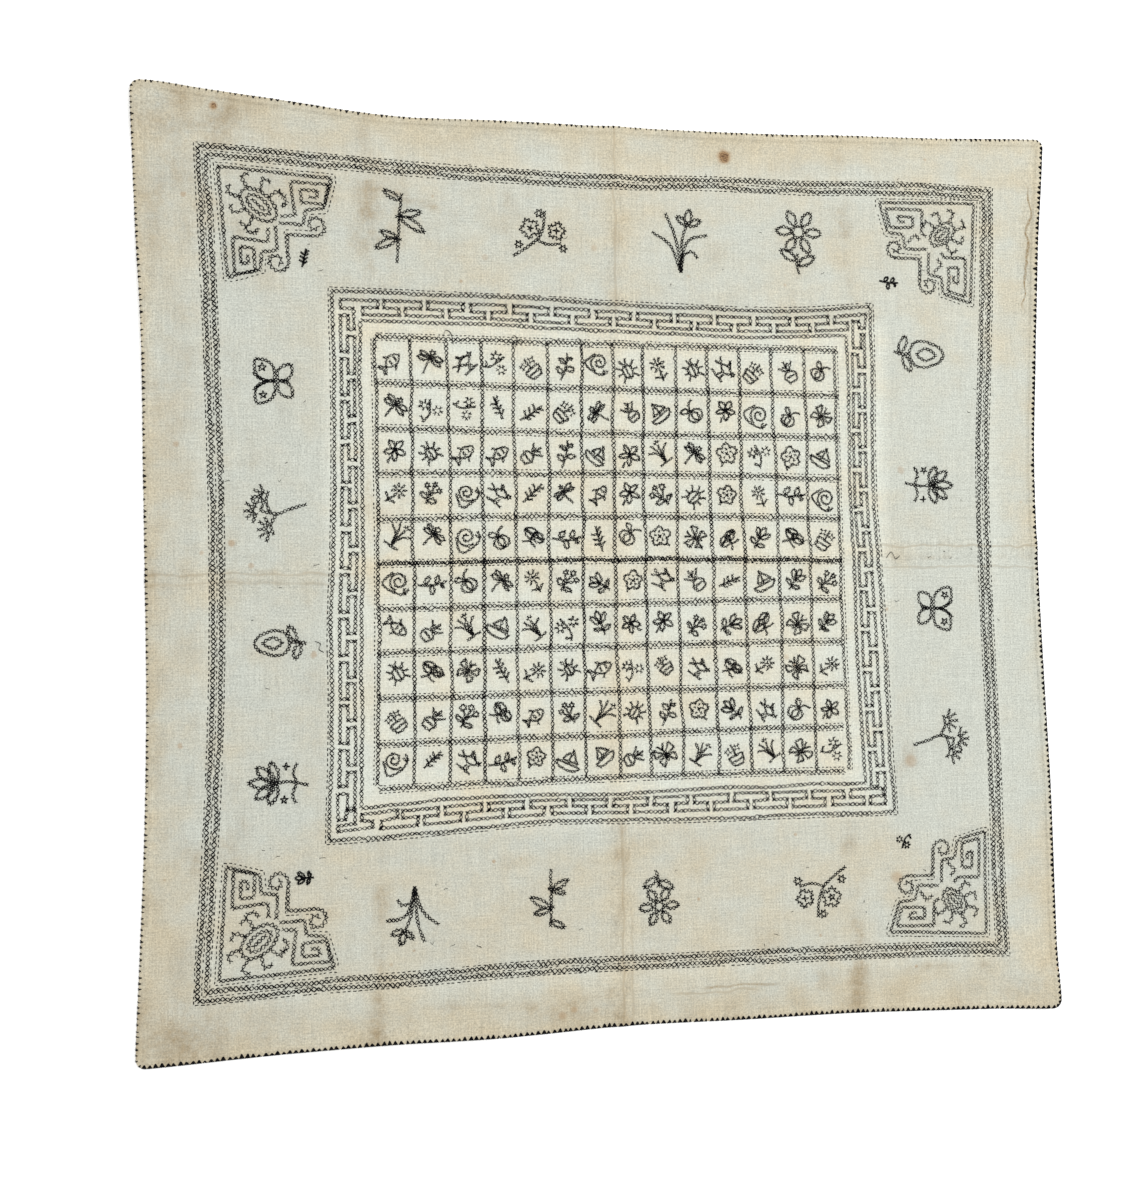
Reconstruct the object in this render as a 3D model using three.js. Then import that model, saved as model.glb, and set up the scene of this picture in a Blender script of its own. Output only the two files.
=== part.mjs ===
// An old hand-embroidered cotton kerchief, lying flat and slightly uneven.
// Millimetres, +Z up. The origin is under the middle of the cloth, on the surface it lies on.
// The cloth is one sheet with its turned hem. Its net of lines follows the stitched borders.

import * as THREE from 'three';

// Driving dimensions of the cloth
const HALF_SIDE = 240;
const SHEET_THICKNESS = 1.0;
const CORNER_RADIUS = 5;
const HEM_WIDTH = 3.2;
const HEM_RISE = 0.6;
const STITCH_RISE = 0.5;
const SLOPE_WIDTH = 1.5;
const FRET_DEPTH = 15;
const BAND_DEPTH = 6;
const CREASE_HALF_WIDTH = 8;
const LEAST_LIFT = 0.02;
const NET_PASSES = 6;

// Numbers of plain net lines in each stretch
const MARGIN_LINES = 1;
const FIELD_LINES = 3;
const CENTRE_LINES = 4;

// How far each edge is drawn in from a true square, at nine even stations from its start.
// Upright edges start at the bottom, and level edges start at the left.
const EDGE_DRAWN_IN = {
  left: [-1.8, 0.8, 3.1, 4.0, 3.5, 2.8, 2.2, -0.8, -2.5],
  right: [-0.4, 0.8, 2.0, 4.6, 6.9, 8.0, 5.8, 4.3, -1.0],
  bottom: [1.0, 3.3, 5.0, 4.3, 6.1, 5.2, 4.8, 2.7, 0.6],
  top: [-1.5, 3.3, 8.8, 9.2, 7.8, 8.4, 5.7, 4.1, 1.5],
};

// The outermost stitched line of each border: how far it lies from the middle of the cloth at the
// start, middle and end of each side. The two ends are "reach" from the middle along the side.
const OUTER_BAND = {
  reach: 209,
  left: [213.5, 205.9, 211.7],
  right: [210.4, 204.9, 209.9],
  bottom: [209.3, 204.8, 208.8],
  top: [211.5, 206.3, 210.3],
};
const FRET_FRAME = {
  reach: 137,
  left: [149.7, 148.0, 146.2],
  right: [147.1, 142.0, 138.1],
  bottom: [133.3, 128.8, 129.6],
  top: [140.9, 138.3, 142.0],
};

// The two storage creases: where each crosses the start, middle and end of the cloth
const UPRIGHT_CREASE = [-3.2, -1.5, -0.5];
const LEVEL_CREASE = [-5.0, 4.0, 13.4];

// Soft folds and lifted places: middle, half length, half width, turn from +X and height
const FOLDS = [
  { name: 'upright crease', x: -1.7, y: 0, along: 330, across: CREASE_HALF_WIDTH, turn: 89.7, height: 1.3 },
  { name: 'level crease', x: 0, y: 4.1, along: 330, across: CREASE_HALF_WIDTH, turn: 2.2, height: 1.2 },
  { name: 'top edge, left of the crease', x: -62, y: 232, along: 44, across: 13, turn: 2, height: 2.2 },
  { name: 'top edge, right of the crease', x: 58, y: 232, along: 38, across: 12, turn: -2, height: 1.9 },
  { name: 'bottom edge, left half', x: -112, y: -236, along: 60, across: 12, turn: 1, height: 1.8 },
  { name: 'bottom right corner', x: 232, y: -232, along: 46, across: 26, turn: -45, height: 2.8 },
  { name: 'right edge, upper part', x: 236, y: 178, along: 52, across: 12, turn: 88, height: 2.0 },
  { name: 'left edge, upper part', x: -242, y: 130, along: 48, across: 12, turn: 91, height: 1.7 },
  { name: 'top left corner', x: -236, y: 234, along: 34, across: 20, turn: 45, height: 1.6 },
];

// Returns the smooth curve through evenly spaced values at a share of its length, 0 to 1
function smoothRow(values, share) {
  const last = values.length - 1;
  const place = THREE.MathUtils.clamp(share, 0, 1) * last;
  const first = Math.min(Math.floor(place), last - 1);
  const step = place - first;
  const at = (index) => values[THREE.MathUtils.clamp(index, 0, last)];
  const slopeIn = (at(first + 1) - at(first - 1)) / 2;
  const slopeOut = (at(first + 2) - at(first)) / 2;
  const square = step * step;
  const cube = square * step;
  return (
    at(first) * (2 * cube - 3 * square + 1) +
    slopeIn * (cube - 2 * square + step) +
    at(first + 1) * (3 * square - 2 * cube) +
    slopeOut * (cube - square)
  );
}

// Returns the parabola through three values at -reach, 0 and reach
function bow(values, reach, along) {
  const [start, middle, end] = values;
  const share = along / reach;
  const slope = (end - start) / 2;
  const bend = (end + start) / 2 - middle;
  return middle + slope * share + bend * share * share;
}

// How far an edge of the cloth lies from the middle, at a place along it
function edgeReach(side, along) {
  const share = (along + HALF_SIDE) / (2 * HALF_SIDE);
  return HALF_SIDE - smoothRow(EDGE_DRAWN_IN[side], share);
}

// Net lines of one side, from the edge inwards. Each line has its distance from the middle and
// the height of the hem or stitching on it.
function sideLines(side) {
  const edge = (inward) => (along) => edgeReach(side, along) - inward;
  const framed = (frame, inward) => (along) => bow(frame[side], frame.reach, along) - inward;
  const key = [
    { at: edge(0), rise: HEM_RISE, filled: 0 },
    { at: edge(HEM_WIDTH), rise: HEM_RISE, filled: 0 },
    { at: edge(HEM_WIDTH + SLOPE_WIDTH), rise: 0, filled: MARGIN_LINES },
    { at: framed(OUTER_BAND, -SLOPE_WIDTH), rise: 0, filled: 0 },
    { at: framed(OUTER_BAND, 0), rise: STITCH_RISE, filled: 0 },
    { at: framed(OUTER_BAND, BAND_DEPTH), rise: STITCH_RISE, filled: 0 },
    { at: framed(OUTER_BAND, BAND_DEPTH + SLOPE_WIDTH), rise: 0, filled: FIELD_LINES },
    { at: framed(FRET_FRAME, -SLOPE_WIDTH), rise: 0, filled: 0 },
    { at: framed(FRET_FRAME, 0), rise: STITCH_RISE, filled: 0 },
    { at: framed(FRET_FRAME, FRET_DEPTH), rise: STITCH_RISE, filled: 0 },
    { at: framed(FRET_FRAME, FRET_DEPTH + SLOPE_WIDTH), rise: 0, filled: 0 },
  ];
  const lines = [];
  key.forEach((line, index) => {
    lines.push(line);
    for (let count = 1; count <= line.filled; count += 1) {
      const share = count / (line.filled + 1);
      const next = key[index + 1];
      lines.push({
        at: (along) => THREE.MathUtils.lerp(line.at(along), next.at(along), share),
        rise: 0,
      });
    }
  });
  return lines;
}

// All the net lines across one direction, from the low side to the high side
function netLines(lowSide, highSide, creaseValues) {
  const crease = (offset) => (along) => bow(creaseValues, HALF_SIDE, along) + offset;
  const low = sideLines(lowSide).map((line) => ({ at: (along) => -line.at(along), rise: line.rise }));
  const high = sideLines(highSide).reverse();
  const fill = (from, to) => {
    const between = [];
    for (let count = 1; count <= CENTRE_LINES; count += 1) {
      const share = count / (CENTRE_LINES + 1);
      between.push({ at: (along) => THREE.MathUtils.lerp(from(along), to(along), share), rise: 0 });
    }
    return between;
  };
  const creaseLines = [-1, -0.5, 0, 0.5, 1].map((share) => ({
    at: crease(share * CREASE_HALF_WIDTH),
    rise: 0,
  }));
  return [
    ...low,
    ...fill(low[low.length - 1].at, creaseLines[0].at),
    ...creaseLines,
    ...fill(creaseLines[creaseLines.length - 1].at, high[0].at),
    ...high,
  ];
}

// Rounds the corners of the cloth: a square patch of points is drawn into a quarter disc
function roundCorner(point) {
  const sideX = point.x < 0 ? 'left' : 'right';
  const sideY = point.y < 0 ? 'bottom' : 'top';
  const fromEdgeX = edgeReach(sideX, point.y) - Math.abs(point.x);
  const fromEdgeY = edgeReach(sideY, point.x) - Math.abs(point.y);
  if (fromEdgeX >= CORNER_RADIUS || fromEdgeY >= CORNER_RADIUS) {
    return;
  }
  const shareX = 1 - fromEdgeX / CORNER_RADIUS;
  const shareY = 1 - fromEdgeY / CORNER_RADIUS;
  const pullX = shareX * (1 - Math.sqrt(1 - (shareY * shareY) / 2)) * CORNER_RADIUS;
  const pullY = shareY * (1 - Math.sqrt(1 - (shareX * shareX) / 2)) * CORNER_RADIUS;
  point.x -= Math.sign(point.x) * pullX;
  point.y -= Math.sign(point.y) * pullY;
}

// How far the underside stands off the surface at a place
function liftAt(x, y) {
  let lift = 0;
  for (const fold of FOLDS) {
    const turn = THREE.MathUtils.degToRad(fold.turn);
    const awayX = x - fold.x;
    const awayY = y - fold.y;
    const along = (awayX * Math.cos(turn) + awayY * Math.sin(turn)) / fold.along;
    const across = (awayY * Math.cos(turn) - awayX * Math.sin(turn)) / fold.across;
    if (Math.abs(along) < 1 && Math.abs(across) < 1) {
      const swell = Math.cos((along * Math.PI) / 2) * Math.cos((across * Math.PI) / 2) ** 2;
      lift = Math.max(lift, fold.height * swell);
    }
  }
  return lift < LEAST_LIFT ? 0 : lift;
}

// Works out the net's points: each is where one upright line crosses one level line
function netPoints(uprightLines, levelLines) {
  return levelLines.map((level) =>
    uprightLines.map((upright) => {
      const point = new THREE.Vector3(upright.at(0), level.at(0), 0);
      for (let pass = 0; pass < NET_PASSES; pass += 1) {
        point.x = upright.at(point.y);
        point.y = level.at(point.x);
      }
      roundCorner(point);
      point.z = liftAt(point.x, point.y);
      return point;
    }),
  );
}

// One closed sheet: an underside, a top with its hem and stitched bands, and a wall around them
function sheetGeometry() {
  const uprightLines = netLines('left', 'right', UPRIGHT_CREASE);
  const levelLines = netLines('bottom', 'top', LEVEL_CREASE);
  const points = netPoints(uprightLines, levelLines);
  const columns = uprightLines.length;
  const rows = levelLines.length;
  const positions = [];
  const indices = [];
  const under = (row, column) => row * columns + column;
  const over = (row, column) => rows * columns + row * columns + column;

  points.forEach((line) => line.forEach((point) => positions.push(point.x, point.y, point.z)));
  const crossesFrame = (row, column) => {
    const deepest = Math.min(row, column, rows - 1 - row, columns - 1 - column);
    return uprightLines[deepest].rise;
  };
  points.forEach((line, row) =>
    line.forEach((point, column) => {
      const top = point.z + SHEET_THICKNESS + crossesFrame(row, column);
      positions.push(point.x, point.y, top);
    }),
  );

  for (let row = 0; row < rows - 1; row += 1) {
    for (let column = 0; column < columns - 1; column += 1) {
      const next = column + 1;
      const above = row + 1;
      indices.push(over(row, column), over(row, next), over(above, next));
      indices.push(over(row, column), over(above, next), over(above, column));
      indices.push(under(row, column), under(above, next), under(row, next));
      indices.push(under(row, column), under(above, column), under(above, next));
    }
  }
  const wall = (from, to) => {
    const [fromRow, fromColumn] = from;
    const [toRow, toColumn] = to;
    indices.push(under(fromRow, fromColumn), under(toRow, toColumn), over(toRow, toColumn));
    indices.push(under(fromRow, fromColumn), over(toRow, toColumn), over(fromRow, fromColumn));
  };
  for (let column = 0; column < columns - 1; column += 1) {
    wall([0, column], [0, column + 1]);
    wall([rows - 1, column + 1], [rows - 1, column]);
  }
  for (let row = 0; row < rows - 1; row += 1) {
    wall([row, columns - 1], [row + 1, columns - 1]);
    wall([row + 1, 0], [row, 0]);
  }

  const geometry = new THREE.BufferGeometry();
  geometry.setAttribute('position', new THREE.Float32BufferAttribute(positions, 3));
  geometry.setIndex(indices);
  geometry.computeBoundingBox();
  const middle = geometry.boundingBox.getCenter(new THREE.Vector3());
  geometry.translate(-middle.x, -middle.y, 0);
  geometry.computeVertexNormals();
  return geometry;
}

const clothMaterial = new THREE.MeshStandardMaterial({
  color: 0xd5cfb9,
  roughness: 0.95,
  metalness: 0,
});

const cloth = new THREE.Mesh(sheetGeometry(), clothMaterial);
cloth.name = 'embroidered_cloth';

const kerchief = new THREE.Group();
kerchief.add(cloth);

export default kerchief;
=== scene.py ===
"""An old hand-embroidered cotton kerchief, laid out flat and seen from above.

The cloth is a thin closed sheet with a turned hem. Every stitch on it is a thread of its own.
Sizes are in millimetres until a mesh is made, and the picture's right and top are +X and +Y.
"""
import math

import bpy
import numpy as np
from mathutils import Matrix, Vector


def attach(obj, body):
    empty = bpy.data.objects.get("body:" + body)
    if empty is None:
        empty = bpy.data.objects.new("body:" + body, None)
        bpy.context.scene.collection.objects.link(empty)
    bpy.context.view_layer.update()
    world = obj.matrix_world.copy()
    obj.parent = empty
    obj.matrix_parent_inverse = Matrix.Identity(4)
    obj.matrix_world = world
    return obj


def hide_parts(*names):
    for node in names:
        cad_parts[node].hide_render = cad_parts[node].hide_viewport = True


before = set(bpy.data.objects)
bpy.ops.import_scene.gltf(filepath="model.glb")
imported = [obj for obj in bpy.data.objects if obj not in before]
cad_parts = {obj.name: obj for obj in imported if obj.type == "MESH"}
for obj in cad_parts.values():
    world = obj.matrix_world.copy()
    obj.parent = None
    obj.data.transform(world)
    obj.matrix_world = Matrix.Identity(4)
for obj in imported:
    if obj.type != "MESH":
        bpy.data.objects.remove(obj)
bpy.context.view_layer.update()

NODE = "embroidered_cloth"
METRE = 0.001

# Sizes of the cloth
HALF_SIDE = 240.0
CORNER_RADIUS = 5.0
UNDER_GAP = 0.35
SHEET = 0.5
HEM_WIDTH = 3.2
HEM_RISE = 0.65
HEM_SLOPE = 0.9
EDGE_ROUND = 0.45
NET_STEP = 2.45
NET_PASSES = 6
CREASE_HALF_WIDTH = 8.0

# Sizes of the needlework
THREAD = 0.5
FINE_THREAD = 0.5
BAND_THREAD = THREAD * 1.04
LINE_THREAD = THREAD * 0.92
STROKE_THREAD = THREAD * 0.88
WIDE_CROSS = 2.4
WIDE_PITCH = 2.4
LINE_CROSS = 2.1
LINE_PITCH = 2.4
RAIL_CROSS = 2.3
RAIL_PITCH = 2.45
POST_CROSS = 1.95
POST_PITCH = 2.2
STROKE_CROSS = 1.2
STROKE_PITCH = 1.3
SPRIG_CROSS = 1.65
SPRIG_PITCH = 1.8
DASH = 1.6
DASH_PITCH = 2.7
BAND_STEP = 3.8
DASH_AWAY = 1.85
GRID_DASH = 1.2
ORNAMENT_SCALE = 0.9
TINY_CROSS = 0.95
TINY_PITCH = 1.0

# How far each edge is drawn in from a true square, at nine even stations from its start.
# Upright edges start at the bottom, and level edges start at the left.
EDGE_DRAWN_IN = {
    "left": [-1.8, 0.8, 3.1, 4.0, 3.5, 2.8, 2.2, -0.8, -2.5],
    "right": [-0.4, 0.8, 2.0, 4.6, 6.9, 8.0, 5.8, 4.3, -1.0],
    "bottom": [1.0, 3.3, 5.0, 4.3, 6.1, 5.2, 4.8, 2.7, 0.6],
    "top": [-1.5, 3.3, 8.8, 9.2, 7.8, 8.4, 5.7, 4.1, 1.5],
}

# Soft folds and lifted places: middle, half length, half width, turn from +X and height
FOLDS = [
    dict(name="upright crease", x=-1.7, y=0, along=330, across=CREASE_HALF_WIDTH, turn=89.7, height=1.3),
    dict(name="level crease", x=0, y=4.1, along=330, across=CREASE_HALF_WIDTH, turn=2.2, height=1.2),
    dict(name="top edge, left", x=-62, y=232, along=44, across=13, turn=2, height=2.2),
    dict(name="top edge, right", x=58, y=232, along=38, across=12, turn=-2, height=1.9),
    dict(name="bottom edge, left", x=-112, y=-236, along=60, across=12, turn=1, height=1.8),
    dict(name="bottom right corner", x=232, y=-232, along=46, across=26, turn=-45, height=2.8),
    dict(name="right edge, upper", x=236, y=178, along=52, across=12, turn=88, height=2.0),
    dict(name="left edge, upper", x=-242, y=130, along=48, across=12, turn=91, height=1.7),
    dict(name="top left corner", x=-236, y=234, along=34, across=20, turn=45, height=1.6),
]

# Where the stitched frames run: x of the upright sides from bottom to top, y of the level sides
# from left to right, at nine even stations between the frame's own corners
OUTER_BAND = {
    "left": [-212.9, -209.8, -206.9, -205.1, -204.6, -205.3, -206.6, -208.6, -210.9],
    "right": [209.6, 208.1, 207.2, 205.3, 203.7, 203.2, 205.4, 207.7, 208.7],
    "bottom": [-208.4, -206.4, -205.6, -204.0, -203.9, -204.6, -205.2, -206.1, -208.2],
    "top": [210.6, 208.6, 206.4, 205.3, 204.9, 206.6, 206.8, 209.0, 208.6],
}
FRET_OUTER = {
    "left": [-149.7, -148.7, -147.9, -148.3, -146.9, -146.0, -145.7, -145.9, -146.6],
    "right": [147.2, 145.0, 143.6, 142.4, 140.3, 138.3, 138.1, 138.5, 138.2],
    "bottom": [-133.3, -131.9, -129.8, -127.8, -128.6, -129.6, -129.5, -129.6, -129.8],
    "top": [141.0, 140.8, 140.4, 140.1, 138.8, 138.4, 137.9, 139.0, 142.2],
}
FRET_INNER = {
    "left": [-134.0, -133.4, -133.4, -133.1, -132.1, -132.2, -132.8, -133.0, -132.7],
    "right": [131.0, 129.5, 127.9, 127.1, 126.4, 125.0, 124.7, 124.9, 124.3],
    "bottom": [-117.8, -115.6, -114.2, -114.5, -115.1, -114.2, -114.1, -113.9, -114.1],
    "top": [126.4, 126.6, 126.2, 125.5, 124.9, 124.2, 123.9, 124.4, 126.0],
}
FRET_LOW = 0.28
FRET_MIDDLE = 0.54
FRET_HIGH = 0.79
FRET_KEY = [
    (0, FRET_LOW), (0.84, FRET_LOW), (0.84, FRET_MIDDLE), (0.5, FRET_MIDDLE), (0.5, FRET_HIGH),
    (1.34, FRET_HIGH), (1.34, FRET_MIDDLE), (1.0, FRET_MIDDLE), (1.0, FRET_LOW),
]

# The keys of each side: where the first starts, the length of one and how many
FRET_SIDES = {
    "top": (4.2, 21.7, 12),
    "right": (15.3, 21.4, 11),
    "bottom": (25.2, 21.5, 12),
    "left": (12.2, 21.75, 11),
}

# The pieces of the key pattern that turn its four corners
FRET_TURNS = [
    [
        (-142.4, 136), (-142.4, 132.4), (-136.1, 132.4), (-135.4, 121.9), (-138.7, 121.8),
        (-138.7, 128.9), (-142.2, 128.8),
    ],
    [
        (118.2, 136), (135.8, 138), (134.8, 130.4), (131.7, 130.3), (131.7, 134.1), (128.1, 134),
        (128.2, 119.5), (132.7, 119.6), (132.6, 127), (134.9, 126.9),
    ],
    [(132.8, -125.3), (142.1, -125.7), (142.1, -108.4)],
    [
        (-145.4, -110.5), (-145.4, -123.4), (-141.9, -123.2), (-141.2, -118.6), (-136.9, -118.8),
        (-137.3, -125.4), (-145.5, -126.1), (-145.5, -129), (-128.5, -127.4), (-128.8, -124.4),
        (-134, -123.9), (-133.7, -120.9),
        (-116.2, -119.2), (-116.2, -122.9), (-124.2, -124.6), (-124.5, -128.5),
    ],
]

# The grid's lines: x at the bottom, middle and top, or y at the left, middle and right
GRID_POSTS = [
    (-126.0, -124.8, -125.8),
    (-108.0, -107.2, -108.1),
    (-90.0, -88.4, -90.0),
    (-72.2, -71.8, -72.2),
    (-55.1, -55.2, -55.9),
    (-37.6, -37.9, -38.1),
    (-20.3, -20.6, -20.3),
    (-2.5, -3.8, -4.2),
    (14.2, 12.4, 12.2),
    (31.0, 29.7, 29.8),
    (50.3, 48.3, 46.9),
    (68.4, 65.6, 63.9),
    (86.0, 84.6, 81.6),
    (103.8, 101.9, 100.0),
    (122.0, 118.9, 117.4),
]
GRID_RAILS = [
    (118.6, 117.9, 118.0),
    (95.2, 94.1, 93.8),
    (72.4, 71.1, 71.0),
    (49.3, 50.2, 48.9),
    (26.4, 28.4, 27.4),
    (3.9, 5.6, 5.0),
    (-18.4, -16.9, -15.4),
    (-41.0, -39.0, -38.3),
    (-63.5, -62.2, -61.5),
    (-86.2, -84.7, -83.7),
    (-108.8, -106.9, -107.0),
]
GRID_MIDDLE_X = -2.0
GRID_MIDDLE_Y = 5.0
GRID_HALF_WIDTH = 122.0
GRID_HALF_HEIGHT = 113.0
BOLD_RAIL = 5

# Corner ornaments: the corner, which way the two arms run, and how far they lean out at their ends
CORNERS = [
    dict(name="top_left", x=-201.5, y=201.0, right=1, up=-1, lean_x=3.4, lean_y=-2.0, stepped=False),
    dict(name="top_right", x=199.3, y=200.9, right=-1, up=-1, lean_x=-1.8, lean_y=-0.6, stepped=True),
    dict(name="bottom_right", x=198.6, y=-197.6, right=-1, up=1, lean_x=1.4, lean_y=2.4, stepped=True),
    dict(name="bottom_left", x=-202.8, y=-199.2, right=1, up=1, lean_x=2.6, lean_y=2.0, stepped=False),
]
ARM = 55.0

# The sixteen sprigs, four to a side: middle, turn of that side and size
SPRIGS = [
    (-111, 174, 0, 1.28), (-42, 172, 0, 1.1), (33, 173, 0, 1.25), (98, 175, 0, 1.2),
    (167, 117, -90, 1.15), (171, 46, -90, 1.05), (171, -21, -90, 1.1), (174, -91, -90, 1.1),
    (106, -169, 180, 1.15), (17, -169, 180, 1.0), (-41, -167, 180, 1.05), (-109, -172, 180, 1.1),
    (-175, -104, 90, 1.1), (-174, -35, 90, 1.0), (-174, 30, 90, 1.05), (-174, 95, 90, 1.05),
]
TINY_SPRIGS = [(-160, 157, 0), (149, 156, -45), (152, -146, 180), (-162, -151, 90)]

# The camera: found from the cloth's four corners in the picture
PICTURE_HEIGHT = 1200
FOCAL_PIXELS = 1124.0
CAMERA_PLACE = (-116.2, -26.6, 572.1)
CAMERA_TURN = (1.26, -8.92, -0.67)
SENSOR_HEIGHT = 24.0


def smooth_row(values, shares):
    """The smooth curve through evenly spaced values, at shares of its length from 0 to 1."""
    values = np.asarray(values, float)
    last = len(values) - 1
    place = np.clip(shares, 0.0, 1.0) * last
    first = np.minimum(np.floor(place).astype(int), last - 1)
    step = place - first
    before = values[np.maximum(first - 1, 0)]
    start = values[first]
    end = values[first + 1]
    after = values[np.minimum(first + 2, last)]
    slope_in = (end - before) / 2
    slope_out = (after - start) / 2
    square = step * step
    cube = square * step
    rise = start * (2 * cube - 3 * square + 1) + end * (3 * square - 2 * cube)
    return rise + slope_in * (cube - 2 * square + step) + slope_out * (cube - square)


def bow(values, reach, along):
    """The parabola through three values at -reach, 0 and reach."""
    start, middle, end = values
    share = along / reach
    return middle + (end - start) / 2 * share + ((end + start) / 2 - middle) * share * share


def edge_reach(side, along):
    """How far an edge of the cloth lies from its middle, at a place along the edge."""
    return HALF_SIDE - smooth_row(EDGE_DRAWN_IN[side], (along + HALF_SIDE) / (2 * HALF_SIDE))


def edge_distance(x, y):
    """How far a place lies inside the nearest edge of the cloth."""
    across = np.where(x < 0, edge_reach("left", y), edge_reach("right", y)) - np.abs(x)
    along = np.where(y < 0, edge_reach("bottom", x), edge_reach("top", x)) - np.abs(y)
    return np.minimum(across, along)


def round_corners(x, y):
    """Draws the square patch at each corner of the cloth into a quarter disc."""
    from_x = np.where(x < 0, edge_reach("left", y), edge_reach("right", y)) - np.abs(x)
    from_y = np.where(y < 0, edge_reach("bottom", x), edge_reach("top", x)) - np.abs(y)
    inside = (from_x < CORNER_RADIUS) & (from_y < CORNER_RADIUS)
    share_x = np.where(inside, 1 - from_x / CORNER_RADIUS, 0)
    share_y = np.where(inside, 1 - from_y / CORNER_RADIUS, 0)
    pull_x = share_x * (1 - np.sqrt(1 - np.clip(share_y, 0, 1) ** 2 / 2)) * CORNER_RADIUS
    pull_y = share_y * (1 - np.sqrt(1 - np.clip(share_x, 0, 1) ** 2 / 2)) * CORNER_RADIUS
    return x - np.sign(x) * pull_x, y - np.sign(y) * pull_y


def lift_at(x, y):
    """How far the cloth stands off the surface under it."""
    lift = np.zeros(np.shape(x))
    for fold in FOLDS:
        turn = math.radians(fold["turn"])
        away_x = x - fold["x"]
        away_y = y - fold["y"]
        along = (away_x * math.cos(turn) + away_y * math.sin(turn)) / fold["along"]
        across = (away_y * math.cos(turn) - away_x * math.sin(turn)) / fold["across"]
        near = (np.abs(along) < 1) & (np.abs(across) < 1)
        swell = np.cos(along * math.pi / 2) * np.cos(across * math.pi / 2) ** 2
        lift = np.maximum(lift, np.where(near, fold["height"] * swell, 0))
    return lift


def hem_rise(distance):
    """How far the turned hem stands above the sheet, at a distance inside the edge."""
    slope = np.clip((HEM_WIDTH + HEM_SLOPE - distance) / HEM_SLOPE, 0, 1)
    return HEM_RISE * slope * slope * (3 - 2 * slope)


def top_at(x, y):
    """The height of the cloth's face."""
    return lift_at(x, y) + UNDER_GAP + SHEET + hem_rise(edge_distance(x, y))


def under_at(x, y):
    """The height of the cloth's underside."""
    return lift_at(x, y) + UNDER_GAP


def net_shares():
    """Shares across the cloth at which its net has a line: close together in the hem."""
    side = 2 * HALF_SIDE
    near = np.array([0, 0.25, 0.8, 1.7, 2.6, 3.2, 3.6, 4.1, 5.0, 6.8]) / side
    count = int((side * (1 - 2 * near[-1])) / NET_STEP)
    middle = np.linspace(near[-1], 1 - near[-1], count + 1)
    return np.concatenate([near[:-1], middle, 1 - near[:-1][::-1]])


def cloth_net():
    """The net's points as two square arrays, x and y."""
    shares = net_shares()
    share_x, share_y = np.meshgrid(shares, shares)
    x = (share_x * 2 - 1) * HALF_SIDE
    y = (share_y * 2 - 1) * HALF_SIDE
    for _ in range(NET_PASSES):
        x = (1 - share_x) * -edge_reach("left", y) + share_x * edge_reach("right", y)
        y = (1 - share_y) * -edge_reach("bottom", x) + share_y * edge_reach("top", x)
    return round_corners(x, y)


NET_X, NET_Y = cloth_net()
MIDDLE_X = (NET_X.min() + NET_X.max()) / 2
MIDDLE_Y = (NET_Y.min() + NET_Y.max()) / 2


def to_metres(points):
    """Moves points to the frame's origin and into metres."""
    return (np.asarray(points, float) - (MIDDLE_X, MIDDLE_Y, 0)) * METRE


def make_object(name, points, faces, corner_uv, point_values, material):
    """A smooth mesh object: points in millimetres, faces all with the same number of corners."""
    faces = np.asarray(faces, np.int32)
    sides = faces.shape[1]
    mesh = bpy.data.meshes.new(name)
    mesh.vertices.add(len(points))
    mesh.vertices.foreach_set("co", to_metres(points).astype(np.float32).ravel())
    mesh.loops.add(faces.size)
    mesh.loops.foreach_set("vertex_index", faces.ravel())
    mesh.polygons.add(len(faces))
    mesh.polygons.foreach_set("loop_start", np.arange(0, faces.size, sides, dtype=np.int32))
    mesh.update(calc_edges=True)
    mesh.polygons.foreach_set("use_smooth", np.ones(len(faces), bool))
    layer = mesh.uv_layers.new(name="OFBake")
    layer.data.foreach_set("uv", np.asarray(corner_uv, np.float32).ravel())
    for field_name, values in point_values.items():
        field = mesh.attributes.new(field_name, "FLOAT", "POINT")
        field.data.foreach_set("value", np.asarray(values, np.float32).ravel())
    mesh.materials.append(material)
    mesh.validate()
    mesh.update()
    piece = bpy.data.objects.new(name, mesh)
    bpy.context.scene.collection.objects.link(piece)
    return piece


# Lines of the needlework

def as_line(points):
    """A drawn line as an array of x and y."""
    return np.asarray(points, float)


def line_places(points, distances):
    """The places and unit directions at distances along a line."""
    steps = np.diff(points, axis=0)
    lengths = np.hypot(steps[:, 0], steps[:, 1])
    sums = np.concatenate([[0], np.cumsum(lengths)])
    index = np.clip(np.searchsorted(sums, distances, side="right") - 1, 0, len(lengths) - 1)
    share = (distances - sums[index]) / np.maximum(lengths[index], 1e-9)
    places = points[index] + steps[index] * share[:, None]
    ways = steps[index] / np.maximum(lengths[index], 1e-9)[:, None]
    return places, ways


def line_length(points):
    """How long a line is."""
    return np.hypot(*np.diff(points, axis=0).T).sum()


def split_at_corners(points, sharpest=38.0):
    """Cuts a line where it turns sharply, so that each run is stitched by itself."""
    steps = np.diff(points, axis=0)
    ways = np.arctan2(steps[:, 1], steps[:, 0])
    turns = np.abs((np.diff(ways) + np.pi) % (2 * np.pi) - np.pi)
    cuts = np.flatnonzero(turns > math.radians(sharpest)) + 1
    edges = [0, *cuts, len(points) - 1]
    return [points[a:b + 1] for a, b in zip(edges[:-1], edges[1:])]


def curve(*points):
    """A smooth line through a few points."""
    points = as_line(points)
    shares = np.linspace(0, 1, 8 * (len(points) - 1) + 1)
    return np.stack([smooth_row(points[:, 0], shares), smooth_row(points[:, 1], shares)], axis=1)


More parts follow.
